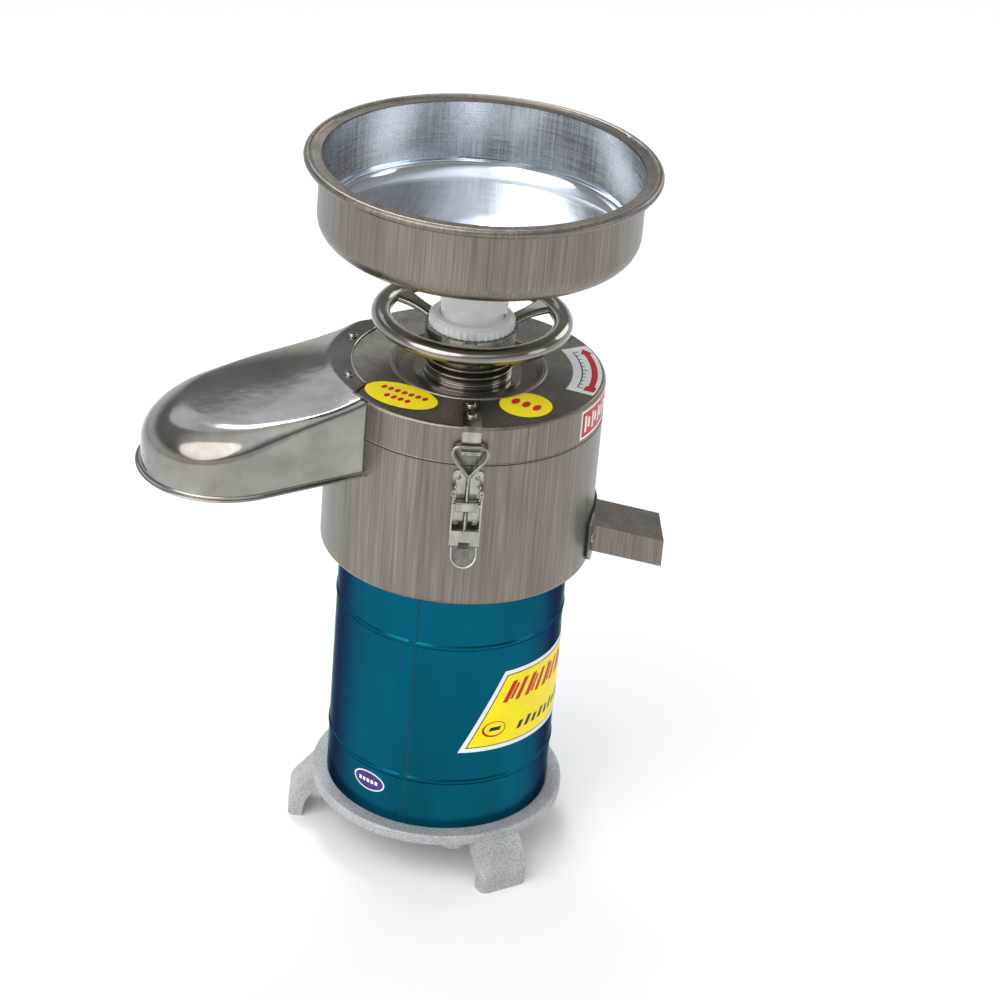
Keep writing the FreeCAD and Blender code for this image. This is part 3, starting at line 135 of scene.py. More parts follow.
def brushed_stainless():
    """Sheet stainless steel with an upright brushed grain: grey-brown, in fine light and dark streaks."""
    material, tree, shader = new_material("brushed_stainless", Metallic=1.0, Anisotropic=0.35)
    fine = streaks(tree, (1, 1, 0.02), 620)
    broad = streaks(tree, (1, 1, 0.12), 55)
    mixed = blend(tree, 0.35, fine, broad)
    feed(shader, "Base Color", ramp(tree, mixed, [(0.3, "675f59"), (0.52, "807870"), (0.72, "999189")]))
    feed(shader, "Roughness", remap(tree, mixed, 0.26, 0.42))
    relief(tree, shader, fine, 0.12, 0.0004)
    return material


def polished_stainless():
    """Mirror-polished stainless steel whose slow waves bend the reflections, as on drawn sheet."""
    material, tree, shader = new_material("polished_stainless", Metallic=1.0)
    cloud = streaks(tree, (1, 1, 1), 22)
    fine = streaks(tree, (1, 1, 1), 900)
    feed(shader, "Base Color", ramp(tree, cloud, [(0.3, "837d77"), (0.7, "a39d96")]))
    feed(shader, "Roughness", remap(tree, fine, 0.09, 0.16))
    relief(tree, shader, cloud, 0.1, 0.004)
    return material


def cast_aluminium():
    """Sandblasted aluminium casting: pale grey with sparkling light and dark grains of about 1 mm."""
    material, tree, shader = new_material("cast_aluminium", Metallic=0.3)
    grains = streaks(tree, (1, 1, 1), 900, 2.0)
    cloud = streaks(tree, (1, 1, 1), 30)
    mixed = blend(tree, 0.25, grains, cloud)
    feed(shader, "Base Color", ramp(tree, mixed, [(0.34, "8d8f90"), (0.5, "abadae"), (0.66, "cfd1d2")]))
    feed(shader, "Roughness", remap(tree, grains, 0.62, 0.42))
    relief(tree, shader, grains, 0.5, 0.0006)
    return material


def teal_lacquer():
    """Teal lacquer over bright steel sheet: deep colour, metallic depth and a clear gloss."""
    edge_tint = hex_colour("2c8288")
    material, tree, shader = new_material("teal_lacquer", Metallic=1.0, Coat_Weight=0.06,
                                          Coat_Roughness=0.08, Specular_Tint=edge_tint)
    cloud = streaks(tree, (1, 1, 0.35), 18)
    feed(shader, "Base Color", ramp(tree, cloud, [(0.3, "004c60"), (0.7, "005d75")]))
    feed(shader, "Roughness", remap(tree, cloud, 0.2, 0.26))
    relief(tree, shader, cloud, 0.15, 0.003)
    return material


def white_nylon():
    """Moulded white nylon: milky, slightly blue in the shade, with a soft gloss."""
    material, tree, shader = new_material("white_nylon", Subsurface_Weight=0.25, Subsurface_Scale=0.004)
    cloud = streaks(tree, (1, 1, 1), 60)
    feed(shader, "Base Color", ramp(tree, cloud, [(0.3, "dfe2e3"), (0.7, "eeefef")]))
    feed(shader, "Roughness", remap(tree, cloud, 0.32, 0.42))
    return material


def nickel_steel():
    """Bright pressed steel of the latches, smoother and lighter than the bowl."""
    material, tree, shader = new_material("nickel_steel", Metallic=1.0)
    cloud = streaks(tree, (1, 1, 0.3), 150)
    feed(shader, "Base Color", ramp(tree, cloud, [(0.3, "938d85"), (0.7, "bdb8b0")]))
    feed(shader, "Roughness", remap(tree, cloud, 0.16, 0.26))
    return material


def painted_light_basin_steel():
    """Inside of the hopper: steel brushed round and down so that its grain crosses, painted paler than the
    outside as painted light on the lit inside.
    """
    material, tree, shader = new_material("painted_light_basin_steel", Metallic=1.0)
    down = streaks(tree, (1, 1, 0.02), 520)
    round_grain = streaks(tree, (0.04, 0.04, 1), 620)
    mixed = blend(tree, 0.5, down, round_grain)
    # Painted light: the pale ramp stands in for the light falling into the open hopper, while the crossing
    # grain is the steel's own.
    feed(shader, "Base Color", ramp(tree, mixed, [(0.35, "b2b2b2"), (0.5, "c4c6c8"), (0.65, "d6d9dd")]))
    feed(shader, "Roughness", remap(tree, mixed, 0.2, 0.36, 0.35, 0.65))
    relief(tree, shader, mixed, 0.12, 0.0004)
    return material


def painted_sheen_mirror_steel():
    """Floor of the hopper and rims of the latches: mirror steel with faint slow waves, painted pale and
    bluish as a painted reflection of the bright sky and a painted highlight on the rims.
    """
    material, tree, shader = new_material("painted_sheen_mirror_steel", Metallic=1.0)
    cloud = streaks(tree, (1, 1, 1), 14)
    # Painted reflection and painted highlight: the pale bluish ramp stands in for the sky seen in the
    # hopper's floor and the bright edges of the latch rims.
    feed(shader, "Base Color", ramp(tree, cloud, [(0.3, "cdd3db"), (0.7, "e3e8ee")]))
    feed(shader, "Roughness", remap(tree, cloud, 0.07, 0.12))
    relief(tree, shader, cloud, 0.04, 0.003)
    return material


def plain_steel():
    """Turned and ground steel of the inner parts."""
    material, tree, shader = new_material("plain_steel", Metallic=1.0)
    fine = streaks(tree, (0.05, 0.05, 1), 800)
    feed(shader, "Base Color", ramp(tree, fine, [(0.3, "8f8f90"), (0.7, "b4b4b4")]))
    feed(shader, "Roughness", remap(tree, fine, 0.25, 0.4))
    return material


def black_rubber():
    """Black rubber sheet, matt with a little bloom."""
    material, tree, shader = new_material("black_rubber")
    cloud = streaks(tree, (1, 1, 1), 120)
    feed(shader, "Base Color", ramp(tree, cloud, [(0.3, "121212"), (0.7, "222221")]))
    feed(shader, "Roughness", remap(tree, cloud, 0.55, 0.7))
    return material


def copper_wire():
    """Enamelled copper wire, wound in layers of about 1 mm."""
    material, tree, shader = new_material("copper_wire", Metallic=0.8)
    turns = streaks(tree, (0.1, 0.1, 1), 900)
    feed(shader, "Base Color", ramp(tree, turns, [(0.3, "7a3514"), (0.7, "c06a35")]))
    feed(shader, "Roughness", remap(tree, turns, 0.3, 0.5))
    return material


def lamination_steel():
    """Stack of stamped steel sheets, seen as fine level lines."""
    material, tree, shader = new_material("lamination_steel", Metallic=0.9)
    sheets = streaks(tree, (0.02, 0.02, 1), 1200)
    feed(shader, "Base Color", ramp(tree, sheets, [(0.3, "4b4b50"), (0.7, "77777b")]))
    feed(shader, "Roughness", remap(tree, sheets, 0.4, 0.6))
    return material


def grinding_stone():
    """Bonded grit of the grinding stones: pale, coarse and dull."""
    material, tree, shader = new_material("grinding_stone")
    grit = streaks(tree, (1, 1, 1), 700)
    feed(shader, "Base Color", ramp(tree, grit, [(0.3, "8d877d"), (0.7, "cbc5ba")]))
    feed(shader, "Roughness", remap(tree, grit, 0.75, 0.95))
    relief(tree, shader, grit, 0.6, 0.0006)
    return material


def studio_floor():
    """Pale matt floor, with a faint mottling."""
    material, tree, shader = new_material("studio_floor", Roughness=0.9)
    cloud = streaks(tree, (1, 1, 1), 1.5)
    feed(shader, "Base Color", ramp(tree, cloud, [(0.3, "f3f3f2"), (0.7, "f6f6f5")]))
    return material


def photo_camera():
    """Camera at the photograph's place, found by a fit to the photograph's ellipses."""
    heading, pitch, roll = (math.radians(a) for a in (4.41, 28.48, 4.97))
    flat = math.cos(pitch)
    ahead = Vector((math.sin(heading) * flat, math.cos(heading) * flat, -math.sin(pitch)))
    level = Vector((math.cos(heading), -math.sin(heading), 0))
    upright = level.cross(ahead)
    right = level * math.cos(roll) + upright * math.sin(roll)
    up = upright * math.cos(roll) - level * math.sin(roll)
    lens = bpy.data.cameras.new("photo_camera")
    lens.lens = 108.76
    lens.sensor_width = 36
    lens.clip_end = 50
    camera = bpy.data.objects.new("photo_camera", lens)
    turn = Matrix((right, up, -ahead)).transposed().to_4x4()
    camera.matrix_world = Matrix.Translation((-0.1336, -2.1839, 1.4996)) @ turn
    bpy.context.collection.objects.link(camera)
    bpy.context.scene.camera = camera


def pale_floor():
    """Pale floor that the machine stands on, far wider than the picture."""
    mesh = bpy.data.meshes.new("floor")
    reach = 8.0
    corners = [(-reach, -reach, 0), (reach, -reach, 0), (reach, reach, 0), (-reach, reach, 0)]
    mesh.from_pydata(corners, [], [(0, 1, 2, 3)])
    floor = bpy.data.objects.new("floor", mesh)
    mesh.materials.append(studio_floor())
    bpy.context.collection.objects.link(floor)


def facing(tree, direction, toward):
    """How far a direction of the sky faces a given one: the dot product of the two."""
    node = add(tree, "VectorMath", {0: direction, 1: toward}, operation="DOT_PRODUCT")
    return node.outputs["Value"]


def mix_colour(tree, share, first, code):
    """Colour of a socket mixed with a hex colour by a share of the second."""
    node = add(tree, "Mix", {"Factor": share, 6: first, 7: hex_colour(code)}, data_type="RGBA")
    return node.outputs[2]


def studio_sky():
    """Sky with grey between a pale horizon and a pale top, and a bright zone in front and one behind."""
    world = bpy.data.worlds.new("studio_sky")
    bpy.context.scene.world = world
    world.use_nodes = True
    tree = world.node_tree
    tree.nodes.clear()
    direction = add(tree, "TexCoord").outputs["Generated"]
    height = add(tree, "SeparateXYZ", {"Vector": direction}).outputs["Z"]
    sky = ramp(tree, height, [(0.12, "f2f2f2"), (0.3, "8d8a86"), (0.75, "a5a8ab"), (0.95, "e6ecf2")])
    front = remap(tree, facing(tree, direction, (-0.27, -0.44, 0.856)), 0.0, 1.0, 0.68, 0.9)
    sky = mix_colour(tree, front, sky, "f3f7fb")
    back = remap(tree, facing(tree, direction, (-0.251, 0.622, 0.742)), 0.0, 1.0, 0.92, 0.94)
    sky = mix_colour(tree, back, sky, "e6effc")
    zone = add(tree, "Math", {0: front, 1: back}, operation="MAXIMUM").outputs["Value"]
    strength = remap(tree, zone, 1.0, 1.45, 0.0, 1.0)
    background = add(tree, "Background", {"Color": sky, "Strength": strength})
    add(tree, "OutputWorld", {"Surface": background.outputs["Background"]})


def panel(name, place, width, height, power):
    """Soft light panel that looks at the middle of the machine."""
    light = bpy.data.lights.new(name, "AREA")
    light.shape = "ELLIPSE"
    light.size = width
    light.size_y = height
    light.energy = power
    lamp = bpy.data.objects.new(name, light)
    lamp.location = place
    lamp.rotation_euler = (Vector((0, 0, 0.3)) - Vector(place)).to_track_quat("-Z", "Y").to_euler()
    lamp.visible_camera = False
    bpy.context.collection.objects.link(lamp)


def studio():
    """Camera, floor, four soft panels of light and the sky."""
    photo_camera()
    pale_floor()
    panel("key_panel", (-1.6, -1.6, 2.0), 3.0, 2.6, 45)
    panel("window_panel", (2.0, 1.9, 1.7), 1.6, 1.2, 12)
    panel("side_panel", (2.1, -0.5, 1.1), 0.9, 1.2, 4)
    panel("roof_panel", (-0.35, 1.15, 2.15), 0.9, 0.7, 14)
    studio_sky()
    bpy.context.scene.view_settings.view_transform = "Standard"


MATERIALS = {
    "cast_aluminium": cast_aluminium(),
    "casing_enamel": teal_lacquer(),
    "brushed_stainless": brushed_stainless(),
    "polished_stainless": polished_stainless(),
    "plain_steel": plain_steel(),
    "lamination_steel": lamination_steel(),
    "copper_wire": copper_wire(),
    "capacitor_can": cast_aluminium(),
    "black_rubber": black_rubber(),
    "fan_plastic": black_rubber(),
    "grinding_stone": grinding_stone(),
    "white_plastic": white_nylon(),
    "spring_wire": plain_steel(),
}
NICKEL_STEEL = nickel_steel()
PAINTED_SHEEN_MIRROR_STEEL = painted_sheen_mirror_steel()


def dress_nodes():
    """Give each solid of the frame the material of its slot, and the latches their brighter steel."""
    latch_ends = ("_strike", "_latch_base", "_latch_lever", "_hook_block")
    for part in frame["record"]["subparts"]:
        node = frame["nodes"][part["node"]]
        node.data.materials.clear()
        latch = part["node"].endswith(latch_ends)
        node.data.materials.append(NICKEL_STEEL if latch else MATERIALS[part["material_slot"]])


def film(name, first, second):
    """Printed film of a label: one colour that drifts a little, with a soft gloss."""
    material, tree, shader = new_material(name, Specular_IOR_Level=0.25)
    cloud = streaks(tree, (1, 1, 1), 90)
    feed(shader, "Base Color", ramp(tree, cloud, [(0.3, first), (0.7, second)]))
    feed(shader, "Roughness", remap(tree, cloud, 0.3, 0.45))
    return material


WHITE_FILM = film("white_film", "e4e6e6", "f0f0ee")
YELLOW_FILM = film("yellow_film", "f7de00", "fdea12")
RED_FILM = film("red_film", "b5121d", "c71c28")
BLACK_FILM = film("black_film", "17181a", "26282b")
PURPLE_FILM = film("purple_film", "33256b", "46358a")
# Painted shade: dark teal film for the strip along the casing's lap seam.
SEAM_SHADE = film("seam_shade", "02303a", "03404c")


def skin(name, grid, material, body, around_u=False, around_v=False):
    """Surface through a grid of points (rows, columns, 3) in millimetres, closed on itself where asked.

    Face (i, j) joins points (i, j), (i, j+1), (i+1, j+1) and (i+1, j), taken round when closed.
    """
    rows, columns = grid.shape[:2]
    index = np.arange(rows * columns).reshape(rows, columns)
    if around_u:
        index = np.vstack([index, index[:1]])
    if around_v:
        index = np.hstack([index, index[:, :1]])
    corners = [index[:-1, :-1], index[:-1, 1:], index[1:, 1:], index[1:, :-1]]
    faces = np.stack(corners, axis=-1).reshape(-1, 4)
    mesh = bpy.data.meshes.new(name)
    mesh.from_pydata((grid.reshape(-1, 3) * MM).tolist(), [], faces.tolist())
    mesh.polygons.foreach_set("use_smooth", np.ones(len(faces), dtype=bool))
    mesh.materials.append(material)
    piece = bpy.data.objects.new(name, mesh)
    bpy.context.collection.objects.link(piece)
    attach(piece, body)
    return piece


def round_grid(radius, angle, height):
    """Grid of points (r cos a, r sin a, z), with a height for each row and an angle for each column."""
    x, y = radius * np.cos(angle)[None, :], radius * np.sin(angle)[None, :]
    return np.stack([x, y, np.broadcast_to(height[:, None], x.shape)], axis=-1)


def turned_grid(grid, azimuth):
    """Grid turned about the machine's axis: (x cos t - y sin t, x sin t + y cos t, z)."""
    turn = math.radians(azimuth)
    x = grid[..., 0] * math.cos(turn) - grid[..., 1] * math.sin(turn)
    y = grid[..., 0] * math.sin(turn) + grid[..., 1] * math.cos(turn)
    return np.stack([x, y, grid[..., 2]], axis=-1)


def on_cylinder(radius):
    """Places label points (azimuth in degrees, height) on an upright cylinder: (r cos a, r sin a, z)."""
    def place(points):
        a = np.radians(points[..., 0])
        return np.stack([radius * np.cos(a), radius * np.sin(a), points[..., 1]], axis=-1)
    return place


def on_level(height):
    """Places label points (x, y) on a level face."""
    def place(points):
        z = np.full(points.shape[:-1] + (1,), height)
        return np.concatenate([points, z], axis=-1)
    return place


def on_arc(height):
    """Places label points (azimuth in degrees, radius) on a level face: (r cos a, r sin a, z)."""
    def place(points):
        a = np.radians(points[..., 0])
        r = points[..., 1]
        return np.stack([r * np.cos(a), r * np.sin(a), np.full_like(r, height)], axis=-1)
    return place


def patch(name, edges, place, material):
    """Label patch between a lower and an upper line of points, in rows laid on the face one by one."""
    low, high = edges
    many_points, few_rows, many_rows = 40, 10, 24
    rows = few_rows if len(low) < many_points else many_rows
    share = np.linspace(0, 1, rows)[:, None, None]
    return skin(name, place(low + (high - low) * share), material, "housing")


def bar(left, right, low, high, lean=0.0, count=48):
    """Lower and upper line of a bar whose sides lean by a share of the height."""
    across = left + (right - left) * np.linspace(0, 1, count)
    lower = np.stack([across, np.full(count, low)], axis=1)
    upper = np.stack([across + lean * (high - low), np.full(count, high)], axis=1)
    return lower, upper


def turned_point(middle, offset, turn):
    """Point at an offset from a middle, turned with its label: m + R(turn) (x, y)."""
    c, s = math.cos(math.radians(turn)), math.sin(math.radians(turn))
    x, y = offset
    return (middle[0] + c * x - s * y, middle[1] + s * x + c * y)


def oval(middle, half_long, half_short, turn=0.0, count=64):
    """Lower and upper half of an ellipse: m + R(turn) (a cos t, -+b sin t)."""
    t = np.linspace(math.pi, 0, count)
    halves = []
    for side in (-1, 1):
        offset = (half_long * np.cos(t), side * half_short * np.sin(t))
        halves.append(np.stack(turned_point(middle, offset, turn), axis=1))
    return halves


def casing_label():
    """Leaning four-sided label on the casing: white rim, black line, yellow field, red and black bars.

    Its sides lean by 22.1 degrees over its height of 74.5 mm. The ends of a layer with an inset of
    1 mm draw in by 0.67 degrees.
    """
    low, high = 123.0, 197.5
    left_end, right_end = -83.8, 13.0
    lean, draw_in, bar_lean = 22.1 / 74.5, 0.67, 0.3
    layers = (
        ("casing_label_rim", 0.0, 0.35, WHITE_FILM),
        ("casing_label_line", 3.9, 0.42, BLACK_FILM),
        ("casing_label_field", 4.8, 0.49, YELLOW_FILM),
    )
    for name, inset, lift, material in layers:
        left = left_end + lean * inset + draw_in * inset
        right = right_end + lean * inset - draw_in * inset
        edges = bar(left, right, low + inset, high - inset, lean)
        patch(name, edges, on_cylinder(CASING_RADIUS + lift), material)

    print_face = on_cylinder(CASING_RADIUS + 0.56)
    strokes = ((0.0, 3.0, 167, 186), (4.2, 6.0, 169, 183), (7.4, 10.2, 167, 186))
    for i in range(6):
        left = -62.0 + 13.5 * i
        for j, (start, end, foot, head) in enumerate(strokes):
            edges = bar(left + start, left + end, foot, head, bar_lean, 6)
            patch(f"casing_label_red_{i}_{j}", edges, print_face, RED_FILM)
    for i in range(12):
        left = -52.0 + 5.2 * i
        edges = bar(left, left + 2.6, 137, 144 + 2 * (i % 2), bar_lean, 6)
        patch(f"casing_label_tick_{i}", edges, print_face, BLACK_FILM)

    ring_face, field_face, bar_face = (on_cylinder(CASING_RADIUS + lift) for lift in (0.55, 0.6, 0.65))
    patch("casing_label_ring", oval((-65.5, 143), 6.6, 7.5), ring_face, RED_FILM)
    patch("casing_label_ring_field", oval((-65.2, 143.4), 5.7, 6.3), field_face, YELLOW_FILM)
    patch("casing_label_ring_bar", bar(-68.5, -62.5, 141.5, 145, bar_lean, 8), bar_face, BLACK_FILM)


def oval_label():
    """Small purple oval with a white rim and five plain bars, low on the casing."""
    middle = (-129.5, 78)
    rim_face, field_face, bar_face = (on_cylinder(CASING_RADIUS + lift) for lift in (0.3, 0.38, 0.45))
    patch("oval_label_rim", oval(middle, 9.7, 9), rim_face, WHITE_FILM)
    patch("oval_label_field", oval(middle, 8.9, 7.8), field_face, PURPLE_FILM)
    for i in range(5):
        left = -135.6 + 2.5 * i
        patch(f"oval_label_bar_{i}", bar(left, left + 1.7, 76.2, 79.6, 0, 4), bar_face, WHITE_FILM)


def yellow_lid_labels():
    """Two yellow labels on the lid, an oval with two rows of dots and a round one with three."""
    label_face, print_face = on_level(LID_TOP + LABEL_LIFT), on_level(LID_TOP + PRINT_LIFT)
    left_middle, left_turn = (-54.7, -62.4), -30.95
    right_middle, right_turn = (43.5, -67.8), -25
    patch("left_lid_label", oval(left_middle, 31.3, 19.5, left_turn), label_face, YELLOW_FILM)
    patch("right_lid_label", oval(right_middle, 21, 21), label_face, YELLOW_FILM)
    for row, (shift, count) in enumerate(((5.5, 7), (-6.0, 4))):
        for i in range(count):
            offset = ((i - (count - 1) / 2) * 6.2, shift)
            dot = oval(turned_point(left_middle, offset, left_turn), 2.3, 3.2, left_turn, 8)
            patch(f"left_lid_label_bar_{row}_{i}", dot, print_face, RED_FILM)
    for i in range(3):
        offset = ((i - 1) * 9.5, 2.0 - i)
        dot = oval(turned_point(right_middle, offset, right_turn), 3.2, 5.5, right_turn, 8)
        patch(f"right_lid_label_bar_{i}", dot, print_face, RED_FILM)


def arc_label():
    """White arc on the lid with a red arrow, from a block to a pointed head, and eleven ticks."""
    label_face, print_face = on_arc(LID_TOP + LABEL_LIFT), on_arc(LID_TOP + PRINT_LIFT)
    patch("arc_label", bar(-25, 25, 84.5, 108), label_face, WHITE_FILM)
    patch("arc_label_arrow", bar(-17, 17, 99.5, 104.5), print_face, RED_FILM)
    t = np.linspace(0, 1, 8)
    head = [np.stack([17 + 5.5 * t, 102 + side * 5.2 * (1 - t)], axis=1) for side in (-1, 1)]
    patch("arc_label_head", head, print_face, RED_FILM)
    patch("arc_label_block", bar(-22, -17, 97.5, 106.5), print_face, RED_FILM)
    scale_foot = 92.4
    patch("arc_label_line", bar(-20, 20, 91.4, scale_foot), print_face, BLACK_FILM)
    for i in range(11):
        azimuth = -20 + 4 * i
        reach = 96.5 if i % 5 == 0 else 94.8
        tick = bar(azimuth - 0.35, azimuth + 0.35, scale_foot, reach, 0, 3)
        patch(f"arc_label_tick_{i}", tick, print_face, BLACK_FILM)


def side_label():
    """Red label with a white rim and plain white strokes, on the lid's side."""
    rim_face, field_face, print_face = (on_cylinder(LID_RADIUS + lift) for lift in (0.15, 0.22, 0.3))
    patch("side_label_rim", bar(-37.5, -2, 404.5, 430), rim_face, WHITE_FILM)
    patch("side_label_field", bar(-36.4, -3.1, 406.5, 428), field_face, RED_FILM)
    for i in range(5):
        left = -34.5 + 6.2 * i
        patch(f"side_label_bar_{i}", bar(left, left + 1.5, 410, 424.5, 0, 4), print_face, WHITE_FILM)
        stroke = bar(left + 2.4, left + 4.2, 413 + i % 2, 422, 0, 4)
        patch(f"side_label_stroke_{i}", stroke, print_face, WHITE_FILM)


def casing_seam():
    """Lap seam of the rolled casing, pressed with small dimples, over the two beads.

    Near a bead the casing's radius grows by 0.8 cos^2(30 d) mm, with d in mm from the bead's middle
    and the angle in degrees. The lap lies about 0.4 mm further out, and a dimple is
    0.3 exp(-(a^2 + b^2)) mm deep, with a and b the shares of its width and height.
    """
    foot, head, pitch = 50.0, 270.0, 4.0
    bead_swell, bead_half = 0.8, 3.0
    z = np.arange(foot, head, 0.5)
    azimuth = np.linspace(-112.2, -108.5, 13)
    radius = np.full_like(z, CASING_RADIUS)
    for middle in (93.5, 223.5):
        near = np.clip(np.abs(z - middle) / bead_half, 0, 1)
        radius += bead_swell * np.cos(near * math.pi / 2) ** 2
    lap = np.interp(azimuth, [-112.2, -111.8, -108.8, -108.5], [0.02, 0.4, 0.45, 0.02])
    across, up = np.meshgrid((azimuth + 109.6) / 0.55, ((z - foot) % pitch - pitch / 2) / 0.9)
    dimple = 0.3 * np.exp(-(across ** 2 + up ** 2))
    lap_grid = round_grid(radius[:, None] + lap[None, :] - dimple, np.radians(azimuth), z)
    skin("casing_seam", lap_grid, MATERIALS["casing_enamel"], "housing")
    # Painted shade: a dark strip laid along the lap's edge.
    shade_grid = round_grid(radius[:, None] + 0.12, np.radians([-108.62, -107.95]), z)
    skin("casing_seam_edge", shade_grid, SEAM_SHADE, "housing")


def hood_profile():
    """Shares along the hood's profile, from the lip at its foot to the middle line of its top.

    q is the angle round the shoulder, inward the share of the level run, rise the share of the wall's
    height, and flare and lift round the lip outwards and up.
    """
    lip, climb, bend, level = 6, 10, 22, 30
    quarter = math.pi / 2
    q = np.concatenate([np.zeros(lip + climb), np.linspace(0, quarter, bend), np.full(level, quarter)])
    inward = np.concatenate([np.zeros(lip + climb + bend), np.linspace(0, 1, level + 1)[1:]])
    rise = np.concatenate([np.zeros(lip), np.linspace(0, 1, climb + 1)[1:], np.ones(bend + level)])
    turn = np.linspace(0, quarter, lip)
    flare = np.concatenate([4.0 * (1 - np.sin(turn)), np.zeros(climb + bend + level)])
    lift = np.concatenate([2.5 * (1 - np.cos(turn)), np.full(climb + bend + level, 2.5)])
    return q, inward, rise, flare, lift


def hood_growth(u):
    """Growth of the shoulder from the lid, 0, to the nose, 1: a smooth step over u from 130 to 262."""
    first, length = 130, 132
    s = np.clip((u - first) / length, 0, 1)
    return s * s * (3 - 2 * s)


def hood():
    """Drawn residue hood with a shoulder that grows from the lid to the nose.

    In the hood's own plan, u runs outwards and v across. The front wall, the half circle of the nose
    and the back wall are one line. A profile climbs the wall, rounds the shoulder as a quarter
    ellipse, a (1 - cos q) inwards and b (1 - sin q) below the top, and runs level to the middle line.
    The top lies level on the lid and falls beyond its edge by 0.11 d + 7 (1 - exp(-d / 25)), where d
    is the distance from that edge along u.
    """
    half, nose, offset, root = 69.3, 192.6, -34.0, 90.0
    fall_radius = LID_RADIUS + 1.1
    top_z, top_slope, sag, sag_length = 435.5, 0.11, 7.0, 25
    foot_z, foot_slope, foot_u = 372.0, 0.0524, 88
    least, more_inwards, more_down = 6.0, 30.0, 22.0
    side_steps, nose_steps = 40, 56
    # The radius about the machine's axis at which the sheet starts, by its place across the hood.
    root_places = [-103.0, -95.0, -84.0, 6.0, 19.0, 26.0]
    root_radii = [108.5, 102.0, 93.8, 93.8, 111.6, 110.6]
    q, inward, rise, flare, lift = hood_profile()

    def reach_of(r):
        """Distance of each profile point from the middle line, for a shoulder of radius r."""
        return np.where(inward > 0, (half - r) * (1 - inward), half - r * (1 - np.cos(q)) + flare)

    def shoulder(u):
        """Width of the shoulder."""
        return least + more_inwards * hood_growth(u)

    def heights(u, v, wall_u):
        """Height of each profile point: from the foot up the wall and round the shoulder to the top."""
        beyond = np.maximum(u - np.sqrt(np.maximum(fall_radius ** 2 - v ** 2, 0)), 0)
        top = top_z - top_slope * beyond - sag * (1 - np.exp(-beyond / sag_length))
        drop = least + more_down * hood_growth(wall_u)
        foot = foot_z - foot_slope * (u - foot_u) + lift
        return foot + rise * (top - drop - foot) + np.where(q > 0, drop * np.sin(q), 0)

    walls = []
    for side in (1, -1):
        v0 = side * reach_of(shoulder(root)) + offset
        limit = np.interp(v0, root_places, root_radii)
        start = np.sqrt(np.maximum(limit ** 2 - v0 ** 2, 0))
        w = np.linspace(0, 1, side_steps)[:, None]
        u = start + (nose - start) * w
        v = side * reach_of(shoulder(u)) + offset
        block = np.stack([u, v, heights(u, v, u)], axis=-1)
        walls.append(block if side == 1 else block[::-1])
    theta = np.linspace(math.pi / 2, -math.pi / 2, nose_steps)[1:-1, None]
    wall_u = nose + half * np.cos(theta)
    reach = reach_of(shoulder(wall_u))
    u = nose + reach * np.cos(theta)
    v = reach * np.sin(theta) + offset
    nose_block = np.stack([u, v, heights(u, v, wall_u)], axis=-1)
    grid = turned_grid(np.concatenate([walls[0], nose_block, walls[1]]), HOOD_AZIMUTH)
    piece = skin("hood_sheet", grid, MATERIALS["polished_stainless"], "housing")
    piece.modifiers.new("seam", "WELD").merge_threshold = 0.01 * MM
    thick = piece.modifiers.new("sheet", "SOLIDIFY")
    thick.thickness = 1.2 * MM
    thick.offset = -1.0
    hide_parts("residue_hood")


def spline(points, count):
    """Closed uniform cubic B-spline: four points weighted by the cubic basis in t, over 6."""
    points = np.asarray(points, dtype=float)
    s = np.linspace(0, len(points), count, endpoint=False)
    k = np.floor(s).astype(int)
    t = (s - k)[:, None]
    four = [points[(k + j) % len(points)] for j in (-1, 0, 1, 2)]
    weights = ((1 - t) ** 3, 3 * t ** 3 - 6 * t ** 2 + 4, -3 * t ** 3 + 3 * t ** 2 + 3 * t + 1, t ** 3)
    return sum(weight * point for weight, point in zip(weights, four)) / 6


def tube(path, radius, flat, closed, sides=14):
    """Grid of circles round a path that lies in a plane of normal `flat`: p + r (cos a n + sin a flat)."""
    round_step = np.roll(path, -1, axis=0) - np.roll(path, 1, axis=0)
    step = round_step if closed else np.gradient(path, axis=0)
    along = step / np.linalg.norm(step, axis=1, keepdims=True)
    normal = np.cross(along, flat)
    a = np.linspace(0, 2 * math.pi, sides, endpoint=False)[None, :, None]
    radius = np.broadcast_to(np.asarray(radius, dtype=float), (len(path),))[:, None, None]
    ring = np.cos(a) * normal[:, None, :] + np.sin(a) * np.asarray(flat)[None, None, :]
    return path[:, None, :] + radius * ring


def wire_hook(place, azimuth):
    """Latch hook: a threaded rod that opens into a heart-shaped eye, in the plane through block and bar."""
    block, end = np.array([117.5, 0.0, 368.5]), np.array([116.0, 0.0, 419.0])
    across = np.array([0.0, 1.0, 0.0])
    up = (end - block) / np.linalg.norm(end - block)
    flat = np.cross(up, across)
    wire, length, eye_height, eye_half = 1.6, 50.5, 26.0, 14.0
    neck = block + up * (length - eye_height)
    # Control points of half the eye, as shares of its height and of its half width.
    half_eye = [(0.02, 0.06), (0.16, 0.22), (0.42, 0.66), (0.70, 1.0), (0.93, 1.02)]
    half_eye += [(1.03, 0.66), (1.0, 0.25)]
    outline = np.array(half_eye + [(h, -w) for h, w in reversed(half_eye)])
    eye_path = spline(neck + outline[:, :1] * eye_height * up + outline[:, 1:] * eye_half * across, 220)
    s = np.arange(-22.0, 25.5, 0.12)
    thread_end, thread_pitch, thread_depth = 17.0, 0.8, 0.16
    wave = thread_depth * np.sin(2 * math.pi * s / thread_pitch)
    rod_path = block + s[:, None] * up
    eye = tube(eye_path, wire, flat, True)
    rod = tube(rod_path, wire + np.where(s < thread_end, wave, 0.0), flat, False)
    for name, grid, closed in (("eye", eye, True), ("rod", rod, False)):
        piece = skin(f"{place}_hook_{name}", turned_grid(grid, azimuth), MATERIALS["polished_stainless"],
                     f"{place}_hook", around_u=closed, around_v=True)
        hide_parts(f"{place}_wire_hook")


